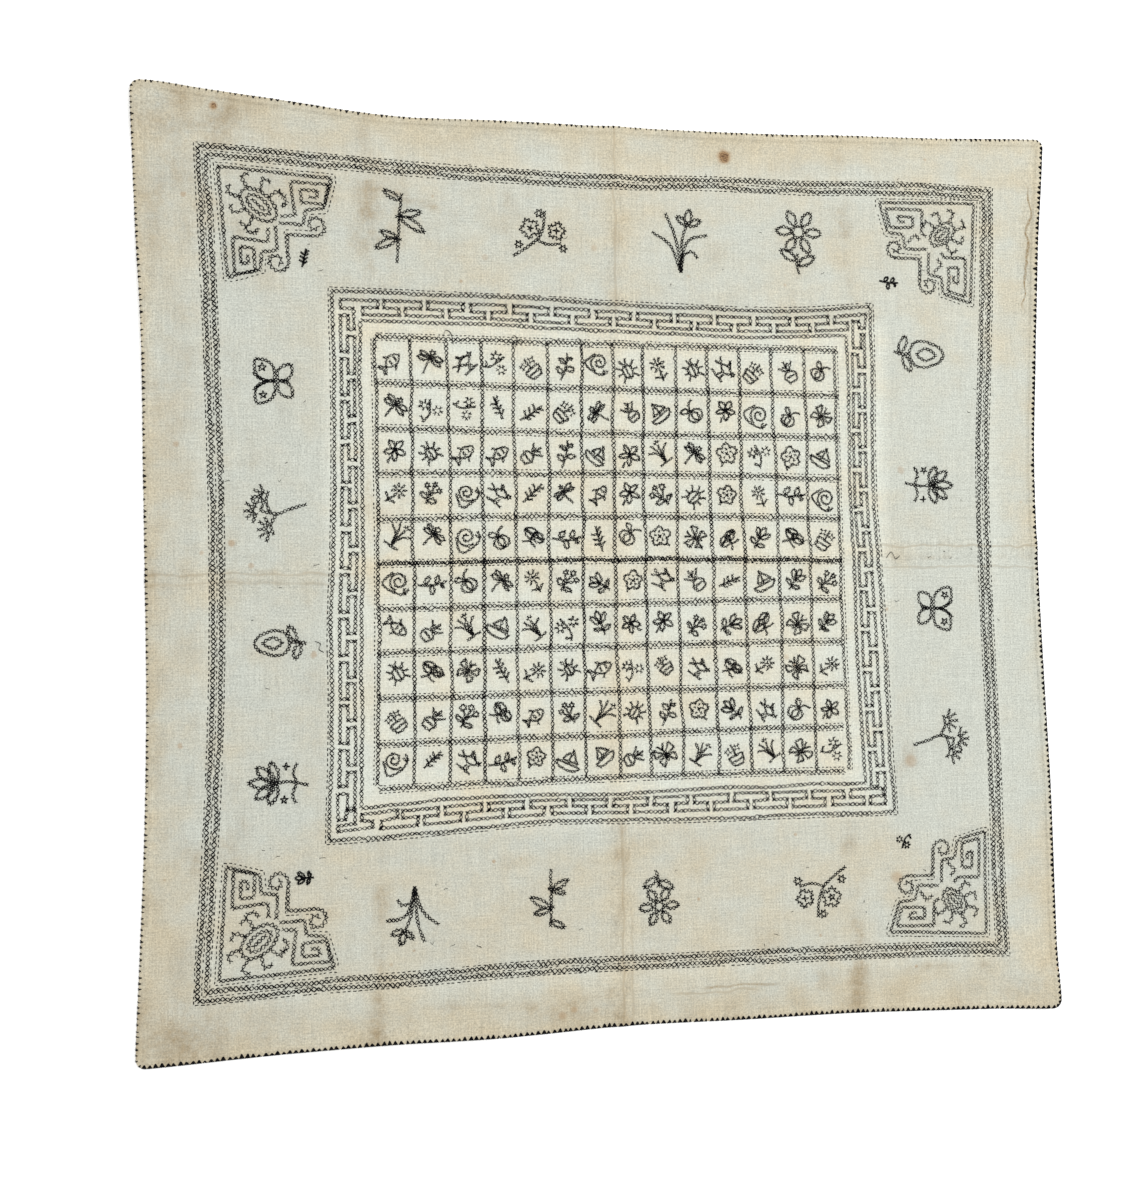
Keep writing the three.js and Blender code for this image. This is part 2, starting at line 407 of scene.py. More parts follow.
def ring(x, y, wide, high=None, turn=0.0):
    """A closed oval."""
    high = wide if high is None else high
    angles = np.linspace(0, 2 * np.pi, 33)
    across = wide * np.cos(angles)
    up = high * np.sin(angles)
    lean = math.radians(turn)
    return np.stack([
        x + across * math.cos(lean) - up * math.sin(lean),
        y + across * math.sin(lean) + up * math.cos(lean),
    ], axis=1)


def leaf(x, y, turn, length, width):
    """A closed almond shape that grows from a place in one direction."""
    share = np.linspace(0, 1, 13)
    bulge = np.sin(share * np.pi) ** 0.85 * width / 2
    along = np.concatenate([share, share[::-1][1:]]) * length
    across = np.concatenate([bulge, -bulge[::-1][1:]])
    lean = math.radians(turn)
    return np.stack([
        x + along * math.cos(lean) - across * math.sin(lean),
        y + along * math.sin(lean) + across * math.cos(lean),
    ], axis=1)


def blossom(x, y, size, petals, turn=0.0):
    """A closed rosette of rounded petals."""
    angles = np.linspace(0, 2 * np.pi, petals * 10 + 1)
    reach = size * (0.58 + 0.42 * np.abs(np.sin(angles * petals / 2)) ** 0.7)
    lean = math.radians(turn)
    return np.stack([x + reach * np.cos(angles + lean), y + reach * np.sin(angles + lean)], axis=1)


def spiral(x, y, start, end, first, last):
    """A line that winds from one radius and angle to another."""
    share = np.linspace(0, 1, max(12, int(abs(last - first) / 14)))
    angles = np.radians(first + (last - first) * share)
    reach = start + (end - start) * share
    return np.stack([x + reach * np.cos(angles), y + reach * np.sin(angles)], axis=1)


def placed(strokes, x, y, turn=0.0, size=1.0):
    """Strokes turned, sized and moved to their place on the cloth."""
    lean = math.radians(turn)
    moved = []
    for stroke in strokes:
        stroke = as_line(stroke) * size
        moved.append(np.stack([
            x + stroke[:, 0] * math.cos(lean) - stroke[:, 1] * math.sin(lean),
            y + stroke[:, 0] * math.sin(lean) + stroke[:, 1] * math.cos(lean),
        ], axis=1))
    return moved


# Threads

SIDES = 3
HOLE_DEPTH = 0.1
REST_HEIGHT = 0.13
OVER_HEIGHT = 0.4
chance = np.random.default_rng(41)


def hem_face(lift, distance):
    """The heights of the face and the underside at a distance inside the edge."""
    face = lift + UNDER_GAP + SHEET + hem_rise(distance)
    under = lift + UNDER_GAP
    middle = (face + under) / 2
    share = np.sqrt(np.clip(1 - (1 - np.clip(distance / EDGE_ROUND, 0, 1)) ** 2 * 0.94, 0, 1))
    return middle + (face - middle) * share, middle + (under - middle) * share


def thread_shape(knots):
    """Triangles, and their places in a unit cell, of a closed thread with this many knots."""
    rings = knots - 2
    last = 1 + SIDES * rings
    faces = []
    cells = []
    for side in range(SIDES):
        following = (side + 1) % SIDES
        low = side / SIDES
        high = (side + 1) / SIDES
        middle = (low + high) / 2
        first = 1 / (knots - 1)
        final = rings / (knots - 1)
        faces.append((0, 1 + following, 1 + side))
        cells.append(((0, middle), (first, high), (first, low)))
        for step in range(rings - 1):
            here = 1 + SIDES * step
            there = here + SIDES
            near = (step + 1) / (knots - 1)
            far = (step + 2) / (knots - 1)
            faces.append((here + side, here + following, there + following))
            cells.append(((near, low), (near, high), (far, high)))
            faces.append((here + side, there + following, there + side))
            cells.append(((near, low), (far, high), (far, low)))
        end = last - SIDES
        faces.append((last, end + side, end + following))
        cells.append(((1, middle), (final, low), (final, high)))
    return np.array(faces), np.array(cells)


class Threads:
    """Collects the threads of one piece, and makes them into one mesh."""

    def __init__(self):
        self.bundles = []

    def add(self, knots, thickness, shade, flat=None):
        """Adds threads: knots is an array of thread, knot and x, y, z."""
        if len(knots) == 0:
            return
        if flat is None:
            chord = knots[:, -1, :2] - knots[:, 0, :2]
            chord = chord / np.maximum(np.linalg.norm(chord, axis=1, keepdims=True), 1e-9)
            flat = np.stack([-chord[:, 1], chord[:, 0], np.zeros(len(knots))], axis=1)
        self.bundles.append((knots, thickness, shade, flat[:, None, :]))

    def build(self, name, material):
        """Makes the piece."""
        total = sum(len(bundle[0]) for bundle in self.bundles)
        columns = math.ceil(math.sqrt(total))
        all_points = []
        all_faces = []
        all_cells = []
        all_shades = []
        point_count = 0
        thread_count = 0
        for knots, thickness, shade, flat in self.bundles:
            count, length, _ = knots.shape
            ways = knots[:, 2:] - knots[:, :-2]
            ways /= np.maximum(np.linalg.norm(ways, axis=2, keepdims=True), 1e-9)
            up = np.cross(ways, np.broadcast_to(flat, ways.shape))
            up /= np.maximum(np.linalg.norm(up, axis=2, keepdims=True), 1e-9)
            reach = np.asarray(thickness)[:, None, None] / 2
            middle = knots[:, 1:-1]
            rings = []
            for side in range(SIDES):
                angle = math.pi / 2 + 2 * math.pi * side / SIDES
                rings.append(middle + reach * (flat * math.cos(angle) * 1.15 + up * math.sin(angle)))
            rings = np.stack(rings, axis=2).reshape(count, -1, 3)
            points = np.concatenate([knots[:, :1], rings, knots[:, -1:]], axis=1)
            faces, cells = thread_shape(length)
            per_thread = points.shape[1]
            starts = point_count + np.arange(count) * per_thread
            all_faces.append((faces[None] + starts[:, None, None]).reshape(-1, 3))
            number = thread_count + np.arange(count)
            corner = np.stack([number % columns, number // columns], axis=1)
            shrunk = 0.06 + 0.88 * cells
            all_cells.append(((shrunk[None] + corner[:, None, None, :]) / columns).reshape(-1, 2))
            all_points.append(points.reshape(-1, 3))
            all_shades.append(np.repeat(shade, per_thread))
            point_count += count * per_thread
            thread_count += count
        return make_object(
            name,
            np.concatenate(all_points),
            np.concatenate(all_faces),
            np.concatenate(all_cells),
            {"shade": np.concatenate(all_shades)},
            material,
        )


def fading(places):
    """How faded the thread is at a place, from 0 to 1, in slow patches over the cloth."""
    x = places[:, 0]
    y = places[:, 1]
    slow = np.sin(x / 37 + 1.3 * np.sin(y / 53)) * np.sin(y / 41 + 0.8 * np.sin(x / 61) + 2)
    quick = np.sin(x / 9.1 + y / 13.7) * np.sin(y / 7.7 - x / 17.3)
    return np.clip(0.14 + 0.2 * slow + 0.12 * quick, 0, 1)


def arched(start, end, shares, heights, sag):
    """Knots of threads that leave the cloth at one hole and go back in at another."""
    shares = np.asarray(shares)[None, :, None]
    way = end - start
    across = np.stack([-way[:, 1], way[:, 0]], axis=1)
    flat = start[:, None, :] + way[:, None, :] * shares
    flat = flat + across[:, None, :] * (np.sin(shares * np.pi) * sag[:, None, None])
    level = top_at(flat[..., 0], flat[..., 1]) + np.asarray(heights)[None, :]
    return np.concatenate([flat, level[..., None]], axis=2)


def under_threads(bin, start, end, thickness, shade):
    """Threads that pass behind the cloth from hole to hole."""
    middle = (start + end) / 2
    places = np.stack([start, middle, end], axis=1)
    level = under_at(places[..., 0], places[..., 1]) + np.array([0.08, -0.14, 0.08])
    bin.add(np.concatenate([places, level[..., None]], axis=2), thickness * 0.85, shade)


UNDER_LEG = ((0, 0.08, 0.92, 1), (-HOLE_DEPTH, REST_HEIGHT, REST_HEIGHT, -HOLE_DEPTH))
OVER_LEG = (
    (0, 0.08, 0.5, 0.92, 1),
    (-HOLE_DEPTH, REST_HEIGHT, OVER_HEIGHT, REST_HEIGHT, -HOLE_DEPTH),
)


def spread(count, size):
    """Small random moves in x and y."""
    return chance.normal(0, size, (count, 2))


def wander(count, pitch, size, reach=14.0):
    """A slow random drift from station to station, nothing at either end."""
    bends = max(2, int(count * pitch / reach) + 1)
    drift = chance.normal(0, size, bends + 1)
    drift[0] = 0
    drift[-1] = 0
    return smooth_row(drift, np.linspace(0, 1, count))


def cross_run(front, back, points, pitch, width, thickness, loose, drift):
    """A row of crosses along one run: each has an under leg and an over leg."""
    length = line_length(points)
    count = max(1, round(length / pitch))
    places, ways = line_places(points, np.linspace(0, length, count + 1))
    normals = np.stack([-ways[:, 1], ways[:, 0]], axis=1)
    places = places + normals * wander(count + 1, pitch, drift)[:, None]
    sideways = normals * width / 2 * (1 + chance.normal(0, 0.1, (count + 1, 1)))
    jitter = width * loose
    upper = places + sideways + spread(count + 1, jitter)
    lower = places - sideways + spread(count + 1, jitter)
    shade = fading(places[:-1]) + chance.normal(0, 0.09, count)
    for first, second, shape in ((lower, upper, UNDER_LEG), (upper, lower, OVER_LEG)):
        start = first[:-1] + spread(count, 0.04)
        end = second[1:] + spread(count, 0.04)
        knots = arched(start, end, *shape, chance.normal(0, 0.045, count))
        sizes = thickness * chance.normal(1, 0.2, count).clip(0.6, 1.5)
        front.add(knots, sizes, shade + chance.normal(0, 0.08, count))
    under_threads(back, upper[1:], lower[1:], np.full(count, thickness), shade)


def cross_line(front, back, points, pitch, width, thickness=THREAD, loose=0.06, drift=0.0):
    """A row of crosses along a line, begun again at each of its corners."""
    for run in split_at_corners(as_line(points)):
        cross_run(front, back, run, pitch, width, thickness, loose, drift)


def running_line(front, back, points, pitch=DASH_PITCH, length=DASH, thickness=FINE_THREAD):
    """A line of running stitches, with a few lost to wear."""
    for run in split_at_corners(as_line(points)):
        whole = line_length(run)
        count = max(1, round(whole / pitch))
        starts = (np.arange(count) + 0.22) * whole / count + chance.normal(0, 0.12, count)
        kept = chance.random(count) > 0.03
        starts = starts[kept].clip(0, whole)
        sizes = length * chance.normal(1, 0.1, len(starts)).clip(0.6, 1.4)
        start, _ = line_places(run, starts)
        end, _ = line_places(run, (starts + sizes).clip(0, whole))
        start = start + spread(len(start), 0.1)
        end = end + spread(len(end), 0.1)
        knots = arched(start, end, *UNDER_LEG, chance.normal(0, 0.04, len(start)))
        shade = fading(start) + chance.normal(0.1, 0.12, len(start))
        thick = thickness * chance.normal(1, 0.1, len(start)).clip(0.7, 1.3)
        front.add(knots, thick, shade)
        if len(start) > 1:
            under_threads(back, end[:-1], start[1:], thick[:-1], shade[:-1])


# Frames

LEVEL_SIDES = ("top", "bottom")
OUTWARD = {"top": 1, "right": 1, "bottom": -1, "left": -1}


def frame_span(rows, side):
    """Where a side of a frame starts and ends, along its own direction."""
    end = -1 if side in ("top", "right") else 0
    if side in LEVEL_SIDES:
        return rows["left"][end], rows["right"][end]
    return rows["bottom"][end], rows["top"][end]


def frame_side(rows, side, outward=0.0, step=4.0):
    """One side of a frame as a line, moved outward, from corner to corner."""
    start, end = frame_span(rows, side)
    first = start - outward
    last = end + outward
    along = np.linspace(first, last, int((last - first) / step) + 1)
    across = smooth_row(rows[side], (along - start) / (end - start)) + OUTWARD[side] * outward
    if side in LEVEL_SIDES:
        return np.stack([along, across], axis=1)
    return np.stack([across, along], axis=1)


def outer_band(front, back, dashes):
    """Two rows of wide crosses round the cloth, with running stitches beside and between them."""
    for side in OUTWARD:
        for outward in (0, -BAND_STEP):
            line = frame_side(OUTER_BAND, side, outward)
            cross_line(front, back, line, WIDE_PITCH, WIDE_CROSS, BAND_THREAD, drift=0.25)
        for outward in (DASH_AWAY, -BAND_STEP / 2, -BAND_STEP - DASH_AWAY):
            running_line(dashes, back, frame_side(OUTER_BAND, side, outward))


def fret_point(side, along, depth):
    """A place in the fret border: millimetres along a side, and a share of its depth.

    Level sides are counted from the left, and upright ones from the top.
    """
    start, end = frame_span(FRET_OUTER, side)
    place = start + along if side in LEVEL_SIDES else end - along
    share = (place - start) / (end - start)
    inner_start, inner_end = frame_span(FRET_INNER, side)
    inner_share = (place - inner_start) / (inner_end - inner_start)
    outer = smooth_row(FRET_OUTER[side], share)
    inner = smooth_row(FRET_INNER[side], inner_share)
    across = outer + (inner - outer) * depth
    return (place, across) if side in LEVEL_SIDES else (across, place)


def key_run(front, back, path):
    """One stretch of the key pattern: crosses from corner to corner."""
    for begin, finish in zip(path[:-1], path[1:]):
        past = 0.3 * LINE_CROSS / max(math.dist(begin, finish), 1.0)
        shares = np.linspace(-past, 1 + past, 4)[:, None]
        run = as_line(begin) * (1 - shares) + as_line(finish) * shares
        cross_run(front, back, run, LINE_PITCH * 0.94, LINE_CROSS * 0.92, LINE_THREAD, 0.05, 0.08)


def fret_border(front, back, dashes):
    """Two stitched lines with a running key pattern between them."""
    for side in OUTWARD:
        for rows in (FRET_OUTER, FRET_INNER):
            cross_line(front, back, frame_side(rows, side), LINE_PITCH, LINE_CROSS, LINE_THREAD, drift=0.2)
        running_line(dashes, back, frame_side(FRET_OUTER, side, DASH_AWAY))
        first, unit, count = FRET_SIDES[side]
        for number in range(count):
            slips = chance.normal(0, 0.25, len(FRET_KEY))
            path = [
                fret_point(side, first + (number + along) * unit + slip, depth + slip * 0.03)
                for (along, depth), slip in zip(FRET_KEY, slips)
            ]
            key_run(front, back, path)
    for path in FRET_TURNS:
        key_run(front, back, path)


def grid_post(number):
    """One upright line of the grid."""
    y = np.linspace(GRID_RAILS[-1][1], GRID_RAILS[0][1], 40)
    x = bow(GRID_POSTS[number], GRID_HALF_HEIGHT, y - GRID_MIDDLE_Y)
    return np.stack([x, y], axis=1)


def grid_rail(number, away=0.0):
    """One level line of the grid, moved up by some millimetres."""
    x = np.linspace(GRID_POSTS[0][1] - 0.6, GRID_POSTS[-1][1] + 0.6, 40)
    y = bow(GRID_RAILS[number], GRID_HALF_WIDTH, x - GRID_MIDDLE_X) + away
    return np.stack([x, y], axis=1)


def grid(front, back, dashes):
    """Fourteen by ten cells: fine upright lines, and level lines between running stitches."""
    for number in range(len(GRID_POSTS)):
        width = POST_CROSS * chance.uniform(0.9, 1.12)
        thickness = THREAD * chance.uniform(0.9, 1.1)
        cross_line(front, back, grid_post(number), POST_PITCH, width, thickness, drift=0.3)
    for number in range(len(GRID_RAILS)):
        bold = number == BOLD_RAIL
        pitch = RAIL_PITCH * (0.6 if bold else 1.0)
        thickness = THREAD * (1.25 if bold else 1.0)
        cross_line(front, back, grid_rail(number), pitch, RAIL_CROSS, thickness, 0.08, 0.2)
        for away in (-DASH_AWAY, DASH_AWAY):
            running_line(dashes, back, grid_rail(number, away), 2.2, GRID_DASH)
    for number, away in ((0, -1.8), (len(GRID_POSTS) - 1, 1.8)):
        running_line(dashes, back, grid_post(number) + (away, 0), 2.3, GRID_DASH)


# Curled ends of thread that hang out of the stitching
LOOSE_ENDS = [
    ((-91.4, 119.4), (-90, 122.6), (-87.4, 121), (-86.2, 115.4)),
    ((-57, 118.6), (-55.4, 121), (-53.6, 119), (-54.6, 114.8)),
    ((-55.8, 118), (-54, 116.4), (-52.4, 118.4), (-50.6, 117)),
    ((-23.4, 118.6), (-21.8, 120.6), (-20.2, 117.4), (-21, 114.4)),
    ((98, 14.6), (100.4, 16), (102, 13.4), (104.8, 13.8)),
    ((144.6, 6.2), (147.2, 9.4), (149.8, 5.8), (152.4, 7.6)),
    ((-151.6, -40), (-154, -38.4), (-153.4, -35.6), (-156.2, -34.4)),
]


def loose_ends(front):
    """Worn ends of thread that curl over the cloth."""
    for points in LOOSE_ENDS:
        line = curve(*points)
        rise = np.sin(np.linspace(0, math.pi, len(line)))
        level = top_at(line[:, 0], line[:, 1]) + REST_HEIGHT + OVER_HEIGHT * rise
        knots = np.column_stack([line, level])[None]
        front.add(knots, np.array([THREAD * 0.8]), np.array([0.2]))


# Motifs: small generic plants and animals in outline

def rays(x, y, turns, start, end):
    """Short straight strokes that spread from a place."""
    leans = [math.radians(turn) for turn in turns]
    return [
        [(x + start * math.cos(a), y + start * math.sin(a)), (x + end * math.cos(a), y + end * math.sin(a))]
        for a in leans
    ]


def mirrored(strokes):
    """Strokes with their mirror images about the upright axis."""
    return [as_line(stroke) * side for side in ((1, 1), (-1, 1)) for stroke in strokes]


def small_motifs():
    """Motifs of about 12 mm for the cells of the grid."""
    star_flower = rays(0.4, 2, range(0, 360, 45), 1.4, 3.9)
    star_flower += [
        ring(0.4, 2, 0.7), [(0, -2), (-0.8, -6.2)], [(-0.4, -4.4), (-3.8, -2.8)], [(-0.6, -5), (3, -3.4)],
    ]

    fern = [curve((-1.4, -6.2), (0, 0), (1.4, 6.2))]
    fern += [[(x, y), (x + 2.6, y + 1.8)] for x, y in ((-0.6, -4), (-0.2, -1.4), (0.2, 1.2), (0.8, 3.4))]
    fern += [[(x, y), (x - 2.6, y + 1.8)] for x, y in ((-0.6, -3), (-0.2, -0.4), (0.2, 2))]

    butterfly = mirrored([
        [(0, 0.4), (-4.4, 5), (-5.6, 1), (0, 0.4)],
        [(0, -0.4), (-4.6, -1.2), (-3.4, -5), (0, -0.4)],
        [(-0.2, 3), (-1.8, 5.8)],
    ])
    butterfly += [[(0, -3.6), (0, 3.4)]]

    basket = [[(-3.8, -1), (3.8, -1), (2.6, -5.6), (-2.6, -5.6), (-3.8, -1)], [(-3, -3.3), (3, -3.3)]]
    basket += rays(-2.6, 2, (60, 150, 240, 330), 0.5, 2)
    basket += rays(2.4, 2.2, (30, 120, 210, 300), 0.5, 2)
    basket += [[(0, -1), (0, 4.8)]]

    dragonfly = [leaf(0, 1.6, turn, 6.2, 2.2) for turn in (14, -16, 166, 196)]
    dragonfly += [curve((0, -6.4), (-0.5, -2), (0, 3)), ring(0, 4.4, 1.2)]

    fish = [
        leaf(5.6, 0, 180, 8.8, 5), [(-3, 0), (-6, 2.8), (-5, 0), (-6, -2.8), (-3, 0)],
        [(2.6, -1.4), (2.6, 1.4)], [(0, -1.2), (0, 1.2)], [(1, 2.4), (-1, 4.4)], [(1, -2.4), (-1, -4.4)],
    ]
    bird = [
        leaf(-2.4, 0.4, 8, 6.8, 3.8), ring(5, 2, 0.9), [(-2.4, 0.4), (-6, 2)], [(-2.4, 0.2), (-5.8, -1.4)],
        [(0.4, 1.8), (-1.4, 5), (2.4, 2.4)], [(0.8, -1.8), (0.4, -4.8)], [(2.2, -1.6), (2.4, -4.6)],
        [(-3.6, -5), (5, -4.6)],
    ]
    two_stars = rays(-2.4, 2.6, range(0, 360, 60), 0.9, 2.9)
    two_stars += rays(3, -1.6, range(30, 390, 60), 0.9, 2.7)
    two_stars += [curve((-5.4, -5), (-1.4, -2.2), (1.2, 4.8)), [(-4.4, -4.4), (-5.6, -1.6)]]

    five_petals = [leaf(0, 0.8, turn, 5.6, 2.6) for turn in range(18, 378, 72)]
    five_petals += [ring(0, 0.8, 0.8), [(0.6, -3.4), (1.6, -6.4)]]

    grasses = [
        curve((0, -5), (-2, 1), (-5.6, 3.4)), curve((0, -5), (-1, 2), (-2.4, 6)),
        curve((0, -5), (0.6, 1), (1.4, 4.6)), curve((0, -5), (2, 0.6), (5.6, 3)), [(-4, -5.4), (4, -5.4)],
    ]
    grasses += rays(1.4, 5.4, (20, 90, 160), 0.2, 1.8)

    vase = [
        [(-2.2, -6), (2.2, -6), (3.4, -2.6), (1.4, -0.4), (-1.4, -0.4), (-3.4, -2.6), (-2.2, -6)],
        [(0, -0.4), (0, 5.6)], [(-0.8, 0), (-4.2, 3.8)], [(0.8, 0), (4.2, 3.8)], [(0, 2.4), (2, 4)],
        [(0, 1.4), (-1.8, 3.2)], [(-2.4, -3), (2.4, -3)],
    ]
    bow_knot = [leaf(-5.8, 0.6, turn, 6.4, 2.8) for turn in (20, -20)]
    bow_knot += [leaf(5.6, 1, turn, 5.6, 2.6) for turn in (165, 205)]
    bow_knot += [ring(0, 1, 1.1), curve((0, -0.2), (-0.8, -3), (-3.4, -5.6))]
    bow_knot += [curve((-0.8, -2.6), (1.6, -4), (3.8, -4.2))]

    beetle = [ring(0, -0.6, 2.6, 3.4), [(0, -4), (0, 2.6)]]
    beetle += mirrored([
        [(2.4, 1), (5, 3.4)], [(2.6, -0.6), (5.6, -0.8)], [(2.2, -2.4), (4.6, -5)], [(0.6, 3), (1.8, 5.8)],
    ])
    boat = [
        curve((-6, -1.8), (-3.8, -4.6), (3.8, -4.6), (6, -1.8)), [(-6, -1.8), (6, -1.8)], [(0, -1.8), (0, 5.6)],
        [(0, 5.4), (4.8, -0.4), (0, -0.4)], [(-0.6, 3.6), (-3.4, -0.4), (-0.6, -0.4)],
    ]
    fruit = [
        ring(0, -1.8, 4, 3.2), curve((0, 1.2), (-1.6, -1.8), (0, -4.8)),
        curve((0, 1.2), (1.6, -1.8), (0, -4.8)), curve((0, 1.4), (1, 4), (4.2, 5.2)),
        leaf(-0.4, 2, 150, 4.6, 2.4),
    ]
    tulip = [
        [(0, -6.2), (0, 0)], leaf(0, 0, 90, 6, 2.6), leaf(-0.2, -0.6, 128, 6, 2.4), leaf(0.2, -0.6, 52, 6, 2.4),
        leaf(0, -3.6, 160, 4.6, 1.8), leaf(0, -4.2, 20, 4.6, 1.8),
    ]
    leafy_twig = [
        curve((-5.6, -4.6), (0, -1), (5.4, 4.8)), leaf(-2.6, -2.4, 95, 4.6, 2.4), leaf(0, -1, -42, 4.8, 2.4),
        leaf(1.8, 0.8, 108, 4.6, 2.2), leaf(3.4, 2.6, -30, 3, 1.6),
    ]
    berries = [
        ring(-3, 3, 1.3), ring(0.4, 4.8, 1.2), ring(3.6, 2.8, 1.3), [(-2.4, 1.8), (0, -1.6)],
        [(0.4, 3.4), (0, -1.6)], [(3, 1.6), (0, -1.6), (0, -6)], leaf(0, -3, 165, 5, 2.2),
        leaf(0, -4, 10, 5, 2.2),
    ]
    snail = [
        spiral(0.6, 1.2, 0.8, 4.8, 0, 640), curve((-3.8, 4), (-6.2, -3), (-2, -4.6), (3, -4.4), (6.4, -2.6)),
        [(6.2, -2.8), (6.6, 0.4)], [(5.4, -3), (4.8, -0.4)],
    ]
    rosette = [blossom(0, 0.6, 5.2, 5, 18), ring(0, 0.6, 0.8)]
    rosette += rays(0, 0.6, range(54, 414, 72), 1.6, 3)
    rosette += [[(0, -4), (1, -6.4)]]
    return [
        star_flower, fern, butterfly, basket, dragonfly, fish, bird, two_stars, five_petals, grasses,
        vase, bow_knot, beetle, boat, fruit, tulip, leafy_twig, berries, snail, rosette,
    ]


def large_sprigs():
    """Sprigs of about 28 mm for the wide border."""
    bamboo = [
        curve((-2.5, -14), (-2, -9), (-2, -5)), curve((-2, -4), (-1.6, 0), (-1.6, 4)),
        curve((-1.6, 5), (-1, 9), (-0.6, 14)),
        [(-3.6, -4.5), (-0.4, -4.5)], [(-3.2, 4.5), (0, 4.5)], leaf(-1.6, 5, -32, 12, 3),
        leaf(-1.6, 5, 12, 9, 2.6),
        leaf(-2, -4, 205, 10, 2.8), leaf(-2, -4, 160, 7.5, 2.4), leaf(-0.8, 11, 150, 8, 2.4),
    ]
    plum = [
        curve((-12, -9), (-6, -5), (-1, -1), (2, 5), (3, 13)), curve((-1, -1), (5, -3), (11, -2)),
        blossom(-4, 4.4, 4.6, 5, 10), ring(-4, 4.4, 1.2), blossom(8.6, 3.6, 4.2, 5, 40), ring(8.6, 3.6, 1.1),
        ring(11.6, -4.6, 1.6), ring(-9.4, -3.4, 1.5), ring(0.4, 11.6, 1.5),
    ]
    orchid = [
        curve((0, -13), (-4, -2), (-12, 4)), curve((0, -13), (-2, 2), (-6, 12)),
        curve((0, -13), (3, 0), (12, 3)),
        curve((0, -13), (1, 0), (3, 7)), leaf(3.4, 7, 20, 6.4, 2.6), leaf(3.4, 7, 80, 7, 2.8),
        leaf(3.4, 7, 140, 6, 2.4),
        curve((0.6, -6), (5, -4), (7.4, -7)),
    ]
    daisy = [
        ring(0, 5, 2.6), curve((0, -4.6), (-0.6, -9), (1, -14)),
        leaf(-0.4, -8, 150, 9, 3.6), leaf(0, -10, 30, 9, 3.6),
    ]
    daisy += [
        leaf(3 * math.cos(a), 5 + 3 * math.sin(a), math.degrees(a), 7.6, 4)
        for a in np.arange(6) * math.pi / 3
    ]
    bud = [
        curve((-6, 3), (-5.6, -3), (0, -6), (5.6, -3), (6, 3)), curve((-6, 3), (-3.4, 9), (0, 11.4)),
        curve((6, 3), (3.4, 9), (0, 11.4)),
        curve((-3, 2), (0, -2.4), (3, 2)), curve((-3, 2), (0, 7.4), (3, 2)),
        curve((0, -6), (0.6, -10), (-0.6, -14)),
        leaf(0.4, -9, 25, 9, 3.6), leaf(0.2, -11, 160, 9, 3.6),
    ]
    petals = ((90, 12.4), (52, 11.6), (128, 11.6), (16, 10), (164, 10))
    lotus = [leaf(0, 0, turn, length, 4.4) for turn, length in petals]
    lotus += [
        curve((0, 0), (0.8, -6), (-0.8, -14)), curve((-9, -9), (-5, -7), (0, -8.6), (5, -7), (9, -9)),
        ring(-7.4, -3.6, 1.3), ring(7.6, -4, 1.1),
    ]
    pine = [
        curve((3, -14), (1, -6), (-1, 0), (1, 8)), curve((-1, 0), (-6, 3), (-11, 2)),
        curve((0, 3), (5, 5), (10, 3.4)),
    ]
    for x, y in ((-8, 3.4), (7.4, 5), (1, 9)):
        pine += rays(x, y, (20, 55, 90, 125, 160), 1.2, 6.4)
    butterfly = [
        leaf(0, 1, 38, 13.4, 8.6), leaf(0, 1, 142, 13.4, 8.6), leaf(0, -1, -38, 10, 6.4),
        leaf(0, -1, -142, 10, 6.4),
        ring(6.6, 6.2, 1.4), ring(-6.6, 6.2, 1.4), [(0, -6), (0, 4)],
        curve((0, 4), (1.6, 8), (4.4, 10.4)), curve((0, 4), (-1.6, 8), (-4.4, 10.4)),
    ]
    return [bamboo, plum, orchid, daisy, bud, lotus, pine, butterfly]


def cell_motifs(front, back):
    """One small motif in each cell of the grid, most of them set at a slant."""
    motifs = small_motifs()
    columns = len(GRID_POSTS) - 1
    rows = len(GRID_RAILS) - 1
    order = chance.permutation(columns * rows) % len(motifs)
    for column in range(columns):
        for row in range(rows):
            y = (GRID_RAILS[row][1] + GRID_RAILS[row + 1][1]) / 2
            left = bow(GRID_POSTS[column], GRID_HALF_HEIGHT, y - GRID_MIDDLE_Y)
            right = bow(GRID_POSTS[column + 1], GRID_HALF_HEIGHT, y - GRID_MIDDLE_Y)
            x = (left + right) / 2 + chance.normal(0, 0.4)
            y += chance.normal(0, 0.7)
            turn = chance.choice((-40, 40)) + chance.normal(0, 9)
            size = chance.uniform(0.95, 1.1)
            for stroke in placed(motifs[order[column * rows + row]], x, y, turn, size):
                cross_line(front, back, stroke, STROKE_PITCH, STROKE_CROSS, STROKE_THREAD, 0.12, 0.2)


def border_sprigs(front, back):
    """Sixteen sprigs in the wide border, each turned with its side, and a tiny one by each corner."""
    kinds = large_sprigs()
    order = [0, 1, 2, 3, 4, 5, 7, 6, 1, 3, 0, 2, 5, 4, 6, 7]
    for (x, y, turn, size), kind in zip(SPRIGS, order):
        for stroke in placed(kinds[kind], x, y, turn + chance.normal(0, 2), size):
            cross_line(front, back, stroke, SPRIG_PITCH, SPRIG_CROSS, THREAD, drift=0.12)
    for number, (x, y, turn) in enumerate(TINY_SPRIGS):
        for stroke in placed(small_motifs()[(1, 16, 7, 15)[number]], x, y, turn, 0.75):
            cross_line(front, back, stroke, TINY_PITCH, TINY_CROSS)


# Corner ornaments, drawn from the corner of their own frame: along the level arm, then the upright one

def swapped(strokes):
    """Strokes mirrored about the ornament's diagonal."""
    return [as_line(stroke)[:, ::-1] for stroke in strokes]


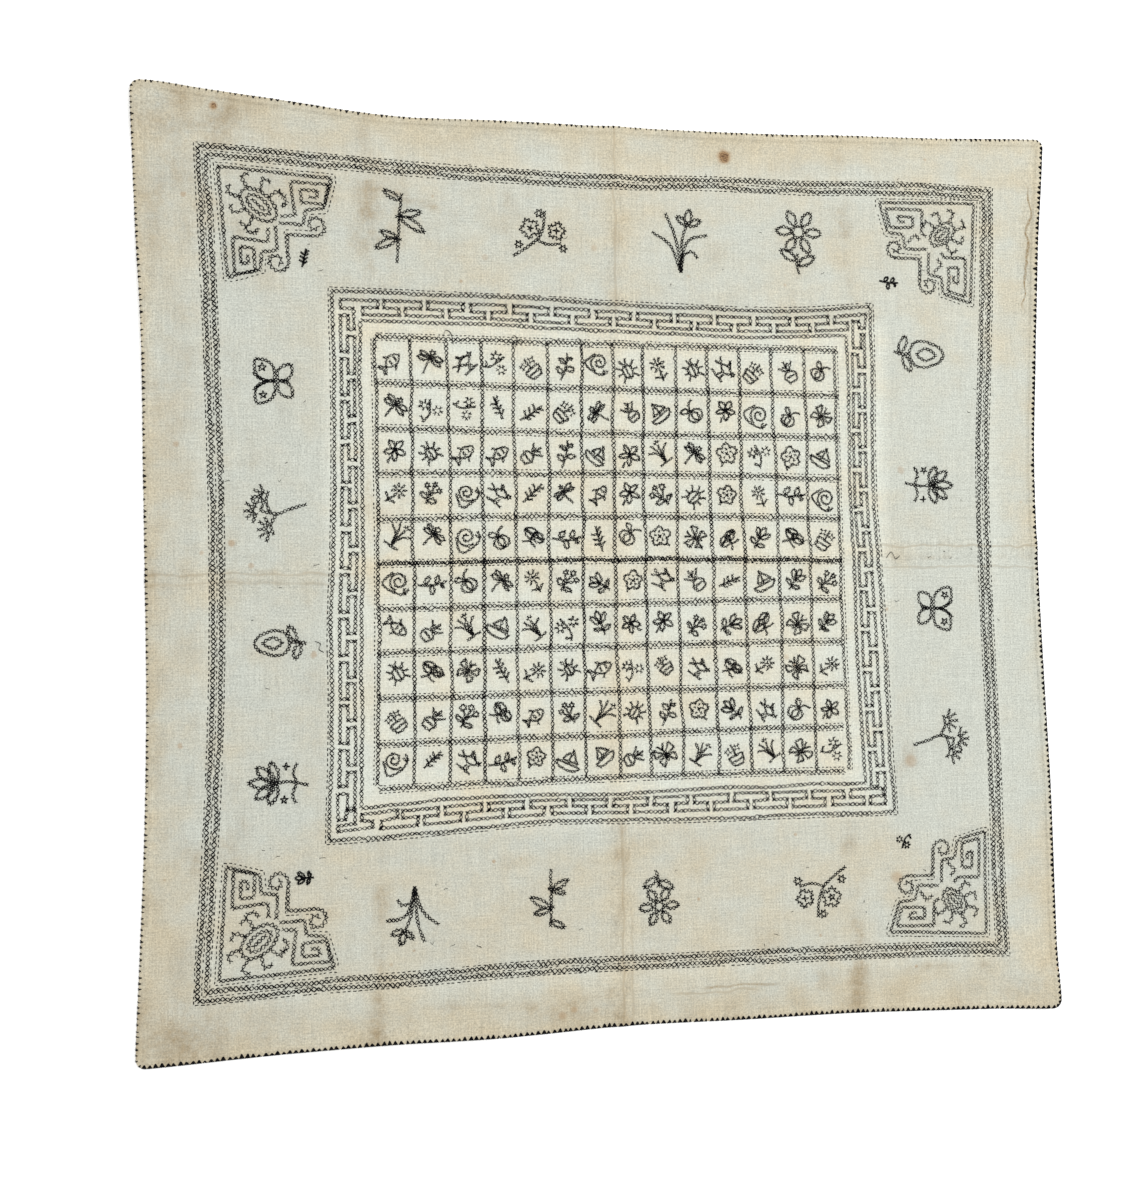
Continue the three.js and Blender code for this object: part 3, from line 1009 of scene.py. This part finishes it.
def ornament_arm(stepped):
    """The key of one arm and the scroll beyond it."""
    edge = [(0, 0), (ARM, 1.2), (ARM - 5, 17.2), (41, 18.4), (39.6, 26), (27.4, 26)]
    if stepped:
        key = [
            (27.4, 19), (30.2, 17.2), (30.2, 4.6), (51.4, 4.4), (48.6, 14.4),
            (35.6, 14.2), (35.6, 8.6), (44.4, 8.4), (43.6, 11.4), (39.8, 11.2),
        ]
        hook = [(31, 21), (34.4, 18), (38.4, 23)]
    else:
        key = [
            (28.6, 22.4), (36, 21.6), (34.6, 4.8), (53.2, 4.6), (51, 14.8),
            (39.4, 14.8), (39.2, 8.4), (47.8, 8.2), (47.2, 11.6), (43, 11.6),
        ]
        hook = [(29.4, 17.8), (32.2, 15.6), (31.2, 11.4), (28, 11.8)]
    stem = curve((31, 31.4), (38, 31.2), (45.4, 31.2))
    scroll = np.concatenate([stem, spiral(45.4, 25.8, 5.4, 1.5, 90, -350)])
    return [edge, key, hook, scroll]


# The flower in each ornament, from the ornament's corner, and the turns of its tendrils
FLOWER_PLACE = (18.4, 17.6)
FLOWER_LONG = 10
FLOWER_WIDE = 6.4
FLOWER_LEAN = 40
TENDRIL = 6.8
TENDRIL_TURNS = (118, 158, 200, 241, 282, 322)
HOOK = 4.4
HOOK_TURN = 1.8


def ornament_flower(size):
    """A ribbed oval flower on the diagonal, with hooked tendrils round it."""
    x, y = FLOWER_PLACE
    strokes = [
        ring(x, y, FLOWER_LONG * size, FLOWER_WIDE * size, FLOWER_LEAN),
        ring(x, y, 6.6 * size, 3.5 * size, FLOWER_LEAN),
        curve((x - 3.2 * size, y - 2.8 * size), (x, y + 0.3), (x + 3.2 * size, y + 2.8 * size)),
    ]
    for turn in TENDRIL_TURNS:
        lean = math.radians(turn)
        across = math.radians(turn - FLOWER_LEAN)
        reach = size / math.hypot(math.cos(across) / FLOWER_LONG, math.sin(across) / FLOWER_WIDE)
        tip = reach + TENDRIL
        root = (x + reach * math.cos(lean), y + reach * math.sin(lean))
        end = (x + tip * math.cos(lean), y + tip * math.sin(lean))
        bend = lean + HOOK_TURN
        hook = (end[0] + HOOK * math.cos(bend), end[1] + HOOK * math.sin(bend))
        strokes.append(curve(root, end, hook))
    return strokes


def corner_ornaments(front, back, dashes):
    """Four quarter ornaments of keys and scrolls, with running stitches round them."""
    for corner in CORNERS:
        arm = ornament_arm(corner["stepped"])
        strokes = arm + swapped(arm) + ornament_flower(0.8 if corner["stepped"] else 1.0)
        around = [(-2, -2), (ARM + 2, -0.8), (ARM + 1.8, 4), (ARM - 3.4, 19.2), (43.2, 20.4), (42.6, 23.6)]
        inner = [(30.2, 44), (30.2, 29.2), (44, 28.6)]
        for group, draw in ((strokes, True), ([around, *swapped([around]), inner], False)):
            for stroke in group:
                stroke = as_line(stroke)
                x = corner["x"] + corner["right"] * stroke[:, 0] + corner["lean_x"] * stroke[:, 1] / ARM
                y = corner["y"] + corner["up"] * stroke[:, 1] + corner["lean_y"] * stroke[:, 0] / ARM
                line = np.stack([x, y], axis=1)
                if draw:
                    pitch = LINE_PITCH * ORNAMENT_SCALE
                    cross = LINE_CROSS * ORNAMENT_SCALE
                    cross_line(front, back, line, pitch, cross, LINE_THREAD, drift=0.12)
                else:
                    running_line(dashes, back, line, 2.5, 1.4)


LINT_COUNT = 90
LINT_THREAD = 0.26


def lint(front):
    """Short dark fibres left on the cloth."""
    for number in range(LINT_COUNT):
        x = chance.uniform(-214, 214)
        y = chance.choice((-1, 1)) * chance.uniform(150, 210)
        if number % 2:
            x, y = y, x
        bend = spread(3, 0.5)
        line = curve(*((x, y) + bend + np.array([[-0.8, 0.2], [0, 0], [0.7, 0.4]])))
        level = top_at(line[:, 0], line[:, 1]) + LINT_THREAD / 3
        shade = np.array([chance.uniform(0.2, 0.8)])
        front.add(np.column_stack([line, level])[None], np.array([LINT_THREAD]), shade)


# The hem

def cloth_rim():
    """The outline of the cloth, anticlockwise from its lower left corner."""
    x = np.concatenate([NET_X[0], NET_X[1:, -1], NET_X[-1, -2::-1], NET_X[-2::-1, 0]])
    y = np.concatenate([NET_Y[0], NET_Y[1:, -1], NET_Y[-1, -2::-1], NET_Y[-2::-1, 0]])
    return np.stack([x, y], axis=1)


HEM_PITCH = 2.85
HEM_THREAD = 0.42
HEM_FAN = (-1.0, -0.66, -0.33, 0.0, 0.33, 0.66, 1.0)


def hem_stitching(front):
    """Fans of threads that hold the hem: out of one hole, over the edge and back."""
    rim = cloth_rim()
    whole = line_length(rim)
    count = int(whole / HEM_PITCH)
    stations = np.arange(count) * whole / count + chance.normal(0, 0.18, count)
    places, ways = line_places(rim, stations.clip(0, whole))
    inward = np.stack([-ways[:, 1], ways[:, 0]], axis=1)
    bold = 0.56 - 0.34 * inward[:, 0] + 0.34 * inward[:, 1]
    bold += 0.2 * np.sin(places[:, 0] / 19) * np.sin(places[:, 1] / 23 + 1) + chance.normal(0, 0.14, count)
    bold = np.clip(bold, 0.08, 1)
    depth = (1.15 + 0.85 * bold) * chance.normal(1, 0.12, count)
    wide = 0.3 + 0.95 * bold
    hole = places + inward * depth[:, None] + spread(count, 0.12)
    shade = fading(places) * 0.7 + 0.5 * (1 - bold) + chance.normal(0, 0.08, count)
    lift = lift_at(places[:, 0], places[:, 1])
    for share in HEM_FAN:
        kept = chance.random(count) < 0.5 + 0.6 * bold
        edge, _ = line_places(rim, (stations + share * wide).clip(0, whole))
        reach = np.hypot(*(edge - hole).T)
        face, under = hem_face(lift, depth)
        edge_face, edge_under = hem_face(lift, 0.3)
        way = (edge - hole) / np.maximum(reach, 1e-6)[:, None]
        rows = [
            (hole, face - 0.1),
            (hole + way * (reach * 0.22)[:, None], face + 0.12),
            (edge - way * 0.35, edge_face + 0.16),
            (edge + way * 0.2, (edge_face + edge_under) / 2),
            (edge - way * 0.35, edge_under - 0.14),
            (hole, under + 0.1),
        ]
        knots = np.stack([np.column_stack([flat, level]) for flat, level in rows], axis=1)
        side = np.column_stack([-way[:, 1], way[:, 0], np.zeros(count)])
        sizes = HEM_THREAD * (0.62 + 0.42 * bold) * chance.normal(1, 0.1, count).clip(0.7, 1.3)
        front.add(knots[kept], sizes[kept], (shade + chance.normal(0, 0.06, count))[kept], side[kept])


# Finishes

def paint(red, green, blue):
    """A colour as it is seen on a screen, 0 to 255, as light."""
    light = []
    for part in (red, green, blue):
        part = part / 255
        light.append(part / 12.92 if part <= 0.04045 else ((part + 0.055) / 1.055) ** 2.4)
    return (*light, 1.0)


class Value:
    """A number that changes over a surface, so that shader maths reads like any other."""

    def __init__(self, finish, output):
        self.finish = finish
        self.output = output

    def maths(self, operation, first, second):
        return self.finish.node("ShaderNodeMath", {"operation": operation}, {0: first, 1: second})

    def __add__(self, other):
        return self.maths("ADD", self, other)

    def __radd__(self, other):
        return self.maths("ADD", other, self)

    def __sub__(self, other):
        return self.maths("SUBTRACT", self, other)

    def __rsub__(self, other):
        return self.maths("SUBTRACT", other, self)

    def __mul__(self, other):
        return self.maths("MULTIPLY", self, other)

    def __rmul__(self, other):
        return self.maths("MULTIPLY", other, self)

    def __abs__(self):
        return self.maths("ABSOLUTE", self, 0.0)

    def larger(self, other):
        return self.maths("MAXIMUM", self, other)

    def wave(self):
        return self.maths("SINE", self, 0.0)

    def between(self, low, high):
        """0 below the low value, 1 above the high one and smooth between them."""
        settings = {"interpolation_type": "SMOOTHSTEP"}
        return self.finish.node("ShaderNodeMapRange", settings, {0: self, 1: low, 2: high, 3: 0.0, 4: 1.0})


class Finish:
    """A material that is built from nodes."""

    def __init__(self, name):
        self.material = bpy.data.materials.new(name)
        self.material.use_nodes = True
        self.tree = self.material.node_tree
        self.tree.nodes.clear()

    def node(self, kind, settings, inputs, output=0):
        """Adds a node: its settings first, then the values or links of its sockets."""
        made = self.tree.nodes.new(kind)
        for key, value in settings.items():
            setattr(made, key, value)
        for key, value in inputs.items():
            if isinstance(value, Value):
                self.tree.links.new(value.output, made.inputs[key])
            else:
                made.inputs[key].default_value = value
        return Value(self, made.outputs[output])

    def place(self):
        """Where a point is on the object, in millimetres from the middle."""
        there = self.node("ShaderNodeTexCoord", {}, {}, "Object")
        return self.node("ShaderNodeVectorMath", {"operation": "SCALE"}, {0: there, "Scale": 1000.0})

    def stretched(self, place, sizes):
        return self.node("ShaderNodeVectorMath", {"operation": "MULTIPLY"}, {0: place, 1: sizes})

    def split(self, place):
        """The x and y of a place."""
        x = self.node("ShaderNodeSeparateXYZ", {}, {0: place}, "X")
        return x, Value(self, x.output.node.outputs["Y"])

    def noise(self, place, scale, detail=2.0, roughness=0.5):
        inputs = {"Vector": place, "Scale": scale, "Detail": detail, "Roughness": roughness}
        return self.node("ShaderNodeTexNoise", {}, inputs, "Fac")

    def field(self, name):
        """A number that the mesh carries at each of its points."""
        return self.node("ShaderNodeAttribute", {"attribute_name": name}, {}, "Fac")

    def mixed(self, first, second, share, way="MIX"):
        """Two colours mixed."""
        settings = {"data_type": "RGBA", "blend_type": way}
        return self.node("ShaderNodeMix", settings, {0: share, 6: first, 7: second}, 2)

    def grey(self, value):
        """A number as a colour."""
        return self.node("ShaderNodeCombineColor", {}, {0: value, 1: value, 2: value})

    def bump(self, height, strength, distance):
        inputs = {"Height": height, "Strength": strength, "Distance": distance}
        return self.node("ShaderNodeBump", {}, inputs)

    def close(self, inputs):
        """Ends in one surface shader."""
        shader = self.node("ShaderNodeBsdfPrincipled", {}, inputs)
        self.node_out(shader)
        return self.material

    def node_out(self, shader):
        made = self.tree.nodes.new("ShaderNodeOutputMaterial")
        self.tree.links.new(shader.output, made.inputs["Surface"])


# Small marks of age: x, y, radius and strength
SPOTS = [
    (57.7, 219.4, 3.9, 1.0),
    (-203.5, 230.9, 2.1, 0.95),
    (-217.9, 186.4, 1.6, 0.5),
    (-221.8, 63.0, 1.6, 0.45),
    (-195.6, 14.5, 1.8, 0.55),
    (-186.6, 3.2, 1.5, 0.45),
    (-209.8, 9.6, 1.3, 0.4),
    (-156.5, -41.1, 1.8, 0.5),
    (-220.5, -84.4, 1.6, 0.5),
    (157.0, -103.0, 3.6, 0.42),
    (154.0, 54.0, 2.2, 0.35),
    (148.0, -165.0, 3.2, 0.4),
    (-34.0, -227.0, 2.4, 0.45),
    (-28.0, -224.0, 1.8, 0.4),
    (-17.0, -225.0, 1.6, 0.35),
    (-13.0, 168.0, 1.8, 0.3),
    (-70.0, 161.0, 1.8, 0.28),
    (-120.0, -196.0, 1.2, 0.35),
    (196.0, 150.0, 1.2, 0.3),
    (88.0, -46.0, 1.6, 0.3),
]

# Wide faint marks: x, y, half width, half height and strength
CLOUDS = [
    (-126, 178, 30, 34, 0.42),
    (-38, -163, 30, 26, 0.35),
    (-93, -183, 26, 20, 0.35),
    (13, -142, 24, 18, 0.35),
    (39, -161, 9, 20, 0.45),
    (82, -197, 34, 18, 0.3),
    (-33, -225, 24, 10, 0.35),
    (-121, 36, 14, 44, 0.45),
    (-154, -80, 12, 62, 0.35),
    (-200, -137, 18, 14, 0.4),
    (60, 100, 40, 24, 0.12),
    (30, 30, 44, 30, 0.16),
    (155, -104, 12, 12, 0.4),
    (147, -156, 12, 12, 0.35),
    (-60, 180, 52, 30, 0.3),
    (-180, 205, 80, 56, 0.3),
    (178, 8, 22, 12, 0.1),
    (110, -216, 60, 24, 0.2),
    (60, 165, 60, 22, 0.2),
    (-215, 226, 30, 14, 0.35),
    (-226, -225, 24, 18, 0.3),
    (110, 200, 30, 40, 0.2),
]

# Painted fold shade along the old fold lines, and rubbed streaks: start, end, half width and strength
STREAKS = [
    (-129, 236, -127, 142, 4.4, 0.32),
    (-124, -136, -127, -236, 4.6, 0.62),
    (122, -136, 127, -236, 4.6, 0.62),
    (118, 236, 128, 145, 5.0, 0.36),
    (0, 236, -1, 140, 4.0, 0.4),
    (-2, -130, -3, -236, 4.6, 0.5),
    (-236, -1, -151, 0, 1.6, 0.4),
    (-236, -5.6, -151, -5, 1.6, 0.4),
    (144, 13.4, 232, 16, 1.8, 0.4),
    (144, 6.6, 232, 7, 1.8, 0.4),
    (-138, 198, -94, 185, 1.8, 0.55),
    (-100, -218, -48, -221, 1.6, 0.4),
    (-30, -220, -8, -216, 1.4, 0.4),
    (150, -214, 214, -213, 1.5, 0.4),
    (205, -216, 206, -150, 2.4, 0.3),
    (-236, 92, -158, 96, 2.0, 0.2),
    (-130, 60, -128, -100, 2.4, 0.3),
]


def slow_waves(x, y, size, seed):
    """A soft uneven pattern between about -1 and 1."""
    phases = np.random.default_rng(seed).uniform(0, 2 * math.pi, (7, 2))
    total = np.zeros(np.shape(x))
    for number, (turn, phase) in enumerate(phases):
        step = size * (0.55 + 0.17 * number)
        total += np.sin((x * math.cos(turn) + y * math.sin(turn)) / step * 2 * math.pi + phase)
    return total / 4


def cloth_tones(x, y):
    """The slow tones of the cloth: how golden, how brown, with painted fold shade in the brown, and how pale
    each point is.
    """
    distance = np.maximum(edge_distance(x, y), 0)
    upright = np.abs(x + 1.7) + 0.8 * slow_waves(x, y, 60, 5)
    level = np.abs(y - 4.1 - x * 0.04) + 0.8 * slow_waves(x, y, 60, 6)
    gold = 0.8 * np.exp(-distance / 5) + 0.16 * np.exp(-((distance - 12) / 12) ** 2)
    gold += 0.28 * np.exp(-(upright / 9) ** 2) + 0.22 * np.exp(-(level / 8) ** 2)
    outward = np.maximum(np.abs(x), np.abs(y - 4))
    inside = np.clip((140 - outward) / 14, 0, 1)
    gold += 0.2 * inside + 0.36 * np.clip((-y - 110) / 40, 0, 1) + 0.26 * np.clip((y - 110) / 60, 0, 1)
    gold += 0.16 - 0.06 * np.clip((-x - 150) / 40, 0, 1)
    gold += 0.22 * np.clip((-x - 190) / 20, 0, 1) * np.exp(-((y + 20) / 80) ** 2)
    gold -= 0.6 * np.exp(-((x - 200) / 45) ** 2 - ((y + 60) / 110) ** 2)
    gold += 0.2 * slow_waves(x, y, 70, 1) + 0.16 * slow_waves(x, y, 26, 2)
    brown = np.zeros(np.shape(x))
    for cloud_x, cloud_y, wide, high, strength in CLOUDS:
        away = ((x - cloud_x) / wide) ** 2 + ((y - cloud_y) / high) ** 2
        brown += strength * np.exp(-away * 1.4)
    # Painted fold shade: brown bands along the old fold lines, added to the brown of the stains
    for x0, y0, x1, y1, wide, strength in STREAKS:
        length = math.hypot(x1 - x0, y1 - y0)
        way_x = (x1 - x0) / length
        way_y = (y1 - y0) / length
        along = np.clip((x - x0) * way_x + (y - y0) * way_y, 0, length)
        away = np.hypot(x - x0 - along * way_x, y - y0 - along * way_y)
        away = away + wide * 0.4 * slow_waves(x, y, 22, 7)
        brown += strength * np.exp(-(away / wide) ** 2)
    brown *= 0.85 + 0.5 * slow_waves(x, y, 18, 3)
    brown += 0.1 * np.clip(slow_waves(x, y, 33, 4), 0, 1) + 0.12 * np.exp(-distance / 7)
    brown += 0.32 * np.clip((-x - 150) / 70, 0, 1) + 0.3 * np.clip((-y - 200) / 24, 0, 1)
    pale = np.clip((151 - np.abs(x + 2)) / 7, 0, 1) * np.clip((136 - np.abs(y - 1)) / 7, 0, 1)
    pale *= 1.35 + 0.25 * np.clip(-x / 140, 0, 1)
    pale += 0.6 * np.exp(-((np.maximum(np.abs(x), np.abs(y)) - 206) / 6) ** 2)
    return np.clip(gold, 0, 1), np.clip(brown, 0, 1), pale


def cotton_finish():
    """Aged plain-woven cotton: slubs, weave, folds with painted crease shade, yellowed edges, spots and specks.
    """
    finish = Finish("aged_cotton")
    place = finish.place()
    x, y = finish.split(place)
    x = x + float(MIDDLE_X)
    y = y + float(MIDDLE_Y)
    gold = finish.field("gold")
    brown = finish.field("brown")
    mottle = finish.noise(place, 0.055, 4.0, 0.62)
    blotch = finish.noise(place, 0.32, 3.0, 0.6)
    warmth = (gold * 0.9 + (mottle - 0.5) * 1.2 + (blotch - 0.5) * 0.15).between(-0.15, 1.25)
    colour = finish.mixed(paint(206, 209, 198), paint(209, 198, 171), warmth)
    streaky_noise = finish.noise(finish.stretched(place, (0.075, 0.045, 0.0)), 1.0, 3.0, 0.6)
    # Stains and painted fold shade share this brown
    dirt_and_fold_shade = (brown * 0.8 + (blotch - 0.5) * brown * 1.2 + (streaky_noise - 0.56) * 1.1).between(0.0, 1.3)
    colour = finish.mixed(colour, paint(168, 151, 121), dirt_and_fold_shade)

    warp = finish.noise(finish.stretched(place, (1.9, 0.045, 0.0)), 1.0, 2.0)
    weft = finish.noise(finish.stretched(place, (0.045, 1.9, 0.0)), 1.0, 2.0)
    fleck = finish.noise(place, 1.15, 2.0, 0.7)
    weave = (x * 7.85).wave() * (y * 7.85).wave()
    slub = finish.noise(place, 0.7, 2.0, 0.6)
    tone = 0.985 + finish.field("pale") * 0.13 + (warp - 0.5) * 0.36 + (weft - 0.5) * 0.34
    tone = tone + (fleck - 0.5) * 1.1
    tone = tone + (slub - 0.5) * 0.15 + (blotch - 0.5) * 0.16 + weave * 0.03
    colour = finish.mixed(colour, finish.grey(tone), 1.0, "MULTIPLY")

    wobble = finish.noise(place, 0.08, 2.0)
    # Painted shade: thin brown lines along the creases, along two wrinkles in the bottom margin and along the
    # lifted fold by the right edge
    lines = [
        (y - 13.0 + (wobble - 0.5) * 6.0, x.between(125.0, 150.0), 0.5),
        (y - 1.4 + (wobble - 0.5) * 5.0, x.between(120.0, 150.0), 0.4),
        (y + 1.2 + (wobble - 0.5) * 5.0, 1.0 - x.between(-150.0, -125.0), 0.4),
        (y + 5.6 + (wobble - 0.5) * 4.0, 1.0 - x.between(-150.0, -125.0), 0.25),
        (x + 1.9 + (wobble - 0.5) * 4.0, abs(y).between(110.0, 150.0), 0.4),
        (x - 2.6 + (wobble - 0.5) * 5.0, 1.0 - y.between(-190.0, -150.0), 0.3),
        (y + 217.2 + (wobble - 0.5) * 4.0, x.between(38.0, 44.0) * (1.0 - x.between(76.0, 84.0)), 0.8),
        (y + 219.8 + (wobble - 0.5) * 5.0, x.between(20.0, 30.0) * (1.0 - x.between(66.0, 72.0)), 0.5),
        (
            x - 229.6 + (y - 180.0) * -0.05 + (wobble - 0.5) * 9.0,
            y.between(140.0, 152.0) * (1.0 - y.between(204.0, 216.0)),
            1.2,
        ),
    ]
    # The fleck noise breaks the painted crease and wrinkle shade into ragged lines
    crease_shade_breakup = fleck.between(0.25, 0.7)
    for away, where, strength in lines:
        mark = (1.0 - abs(away).between(0.2, 0.95)) * where * strength * crease_shade_breakup
        colour = finish.mixed(colour, paint(150, 128, 92), mark)

    marks = None
    ragged = (blotch - 0.5) * 2.6
    for spot_x, spot_y, radius, strength in SPOTS:
        there = (spot_x - float(MIDDLE_X), spot_y - float(MIDDLE_Y), 1.0)
        away = finish.node("ShaderNodeVectorMath", {"operation": "DISTANCE"}, {0: place, 1: there}, "Value")
        mark = (1.0 - (away + ragged).between(radius * 0.45, radius * 1.3)) * strength
        marks = mark if marks is None else marks.larger(mark)
    settings = {"feature": "F1", "distance": "EUCLIDEAN"}
    speck = finish.node("ShaderNodeTexVoronoi", settings, {"Vector": place, "Scale": 0.075}, "Distance")
    chosen = finish.node("ShaderNodeTexVoronoi", settings, {"Vector": place, "Scale": 0.075}, "Color")
    chosen = finish.split(chosen)[0].between(0.72, 0.98)
    freckles = (1.0 - (speck + (fleck - 0.5) * 0.05).between(0.03, 0.1)) * chosen * 0.6
    colour = finish.mixed(colour, paint(172, 132, 84), marks.larger(freckles) * 0.85)
    core = (marks + (fleck - 0.5) * 2.2).between(0.7, 1.2)
    colour = finish.mixed(colour, paint(92, 66, 48), core * 0.9)

    wrinkle = finish.noise(finish.stretched(place, (0.055, 0.16, 0.0)), 1.0, 3.0, 0.55)
    crumple = finish.noise(place, 0.11, 4.0, 0.6)
    height = weave * 0.05 + (warp + weft) * 0.12 + fleck * 0.06 + wrinkle * 0.5 + crumple * 0.9
    return finish.close({
        "Base Color": colour,
        "Roughness": 0.93,
        "Specular IOR Level": 0.16,
        "Sheen Weight": 0.12,
        "Sheen Roughness": 0.6,
        "Normal": finish.bump(height, 0.6, 0.0011),
    })


def thread_finish():
    """Dark blue-black cotton thread, faded and rubbed in places."""
    finish = Finish("dark_thread")
    place = finish.place()
    shade = finish.field("shade")
    fluff = finish.noise(place, 3.2, 2.0)
    age = (shade + (fluff - 0.5) * 0.5).between(0.0, 1.25)
    colour = finish.mixed(paint(7, 8, 12), paint(66, 61, 54), age)
    return finish.close({
        "Base Color": colour,
        "Roughness": 0.85,
        "Specular IOR Level": 0.1,
        "Normal": finish.bump(fluff, 0.5, 0.0002),
    })


def floor_finish():
    """Plain white board."""
    finish = Finish("white_board")
    grain = finish.noise(finish.place(), 0.02, 2.0)
    return finish.close({
        "Base Color": finish.mixed(paint(250, 250, 249), paint(246, 246, 246), grain),
        "Roughness": 0.95,
        "Specular IOR Level": 0.0,
        "Emission Color": (1.0, 1.0, 1.0, 1.0),
        "Emission Strength": 0.3,
    })


# The cloth, and how its face, wall and underside share the unit square of its map
UV_EDGE = 0.005
UV_HEIGHT = 0.99
FACE_UV_WIDTH = 0.785
WALL_UV_START = 0.7925
WALL_UV_END = 0.7995
UNDER_UV_START = 0.802
UNDER_UV_WIDTH = 0.193


def cloth(material):
    """The closed sheet: its face, its underside and a narrow wall round the rim."""
    count = len(NET_X)
    shares = net_shares()
    share_x, share_y = np.meshgrid(shares, shares)
    inside = np.minimum(np.minimum(share_x, 1 - share_x), np.minimum(share_y, 1 - share_y)) * 2 * HALF_SIDE
    face, under = hem_face(lift_at(NET_X, NET_Y), inside)
    flat = np.stack([NET_X.ravel(), NET_Y.ravel()], axis=1)
    points = np.concatenate([np.column_stack([flat, face.ravel()]), np.column_stack([flat, under.ravel()])])
    number = np.arange(count * count).reshape(count, count)
    corners = [number[:-1, :-1], number[:-1, 1:], number[1:, 1:], number[1:, :-1]]
    cells = np.stack(corners, axis=-1).reshape(-1, 4)
    loop = np.concatenate([number[0], number[1:, -1], number[-1, -2::-1], number[-2:0:-1, 0]])
    after = np.roll(loop, -1)
    size = count * count
    walls = np.stack([loop, loop + size, after + size, after], axis=1)
    faces = np.concatenate([cells, cells[:, ::-1] + size, walls])

    spot = np.stack([share_x.ravel(), share_y.ravel()], axis=1)
    face_uv = UV_EDGE + spot * (FACE_UV_WIDTH, UV_HEIGHT)
    under_uv = (UNDER_UV_START, UV_EDGE) + spot * (UNDER_UV_WIDTH, UV_HEIGHT)
    both = np.concatenate([face_uv, under_uv])
    wall_share = np.arange(len(loop)) / len(loop) * UV_HEIGHT + UV_EDGE
    wall_next = wall_share + UV_HEIGHT / len(loop)
    left = np.full(len(loop), WALL_UV_START)
    right = np.full(len(loop), WALL_UV_END)
    wall_uv = np.stack([
        np.column_stack([left, wall_share]),
        np.column_stack([right, wall_share]),
        np.column_stack([right, wall_next]),
        np.column_stack([left, wall_next]),
    ], axis=1).reshape(-1, 2)
    corner_uv = np.concatenate([both[faces[:len(cells) * 2]].reshape(-1, 2), wall_uv])
    gold, brown, pale = cloth_tones(np.tile(flat[:, 0], 2), np.tile(flat[:, 1], 2))
    tones = {"gold": gold, "brown": brown, "pale": pale}
    return make_object("woven_cloth", points, faces, corner_uv, tones, material)


# The scene

def area_light(name, place, target, size, power):
    """A large soft light that faces its target."""
    light = bpy.data.lights.new(name, "AREA")
    light.shape = "DISK"
    light.size = size
    light.energy = power
    lamp = bpy.data.objects.new(name, light)
    lamp.location = place
    lamp.rotation_euler = (Vector(target) - Vector(place)).to_track_quat("-Z", "Y").to_euler()
    bpy.context.scene.collection.objects.link(lamp)


def light_and_floor():
    """A plain pale floor under soft even light."""
    mesh = bpy.data.meshes.new("floor")
    reach = 3.0
    corners = [(-reach, -reach, 0), (reach, -reach, 0), (reach, reach, 0), (-reach, reach, 0)]
    mesh.from_pydata(corners, [], [(0, 1, 2, 3)])
    mesh.materials.append(floor_finish())
    floor = bpy.data.objects.new("floor", mesh)
    bpy.context.scene.collection.objects.link(floor)
    area_light("window", (1.0, 0.6, 1.6), (0, 0, 0), 1.4, 21.5)
    area_light("fill", (-1.0, 0.2, 1.8), (0, 0, 0), 1.8, 5)
    world = bpy.data.worlds.new("studio")
    world.use_nodes = True
    sky = world.node_tree.nodes["Background"]
    sky.inputs["Color"].default_value = (1.0, 1.0, 1.0, 1.0)
    sky.inputs["Strength"].default_value = 0.58
    bpy.context.scene.world = world
    bpy.context.scene.view_settings.view_transform = "Standard"


def camera():
    """The camera where the photograph was taken."""
    lens = bpy.data.cameras.new("camera")
    lens.sensor_fit = "VERTICAL"
    lens.sensor_height = SENSOR_HEIGHT
    lens.lens = FOCAL_PIXELS / PICTURE_HEIGHT * SENSOR_HEIGHT
    view = bpy.data.objects.new("camera", lens)
    view.location = to_metres([CAMERA_PLACE])[0]
    view.rotation_euler = [math.radians(turn) for turn in CAMERA_TURN]
    bpy.context.scene.collection.objects.link(view)
    bpy.context.scene.camera = view


def needlework(material):
    """Every stitched piece, by name."""
    names = (
        "outer_band_stitches", "fret_stitches", "grid_stitches", "cell_motif_stitches",
        "border_sprig_stitches", "corner_ornament_stitches", "running_stitches",
        "reverse_stitches", "hem_stitches",
    )
    threads = {name: Threads() for name in names}
    back = threads["reverse_stitches"]
    dashes = threads["running_stitches"]
    outer_band(threads["outer_band_stitches"], back, dashes)
    fret_border(threads["fret_stitches"], back, dashes)
    grid(threads["grid_stitches"], back, dashes)
    loose_ends(threads["grid_stitches"])
    cell_motifs(threads["cell_motif_stitches"], back)
    border_sprigs(threads["border_sprig_stitches"], back)
    corner_ornaments(threads["corner_ornament_stitches"], back, dashes)
    hem_stitching(threads["hem_stitches"])
    lint(threads["grid_stitches"])
    return [threads[name].build(name, material) for name in names]


camera()
light_and_floor()
sheet = cloth(cotton_finish())
stitches = needlework(thread_finish())
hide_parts(NODE)
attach(sheet, "root")
for piece in stitches:
    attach(piece, "root")
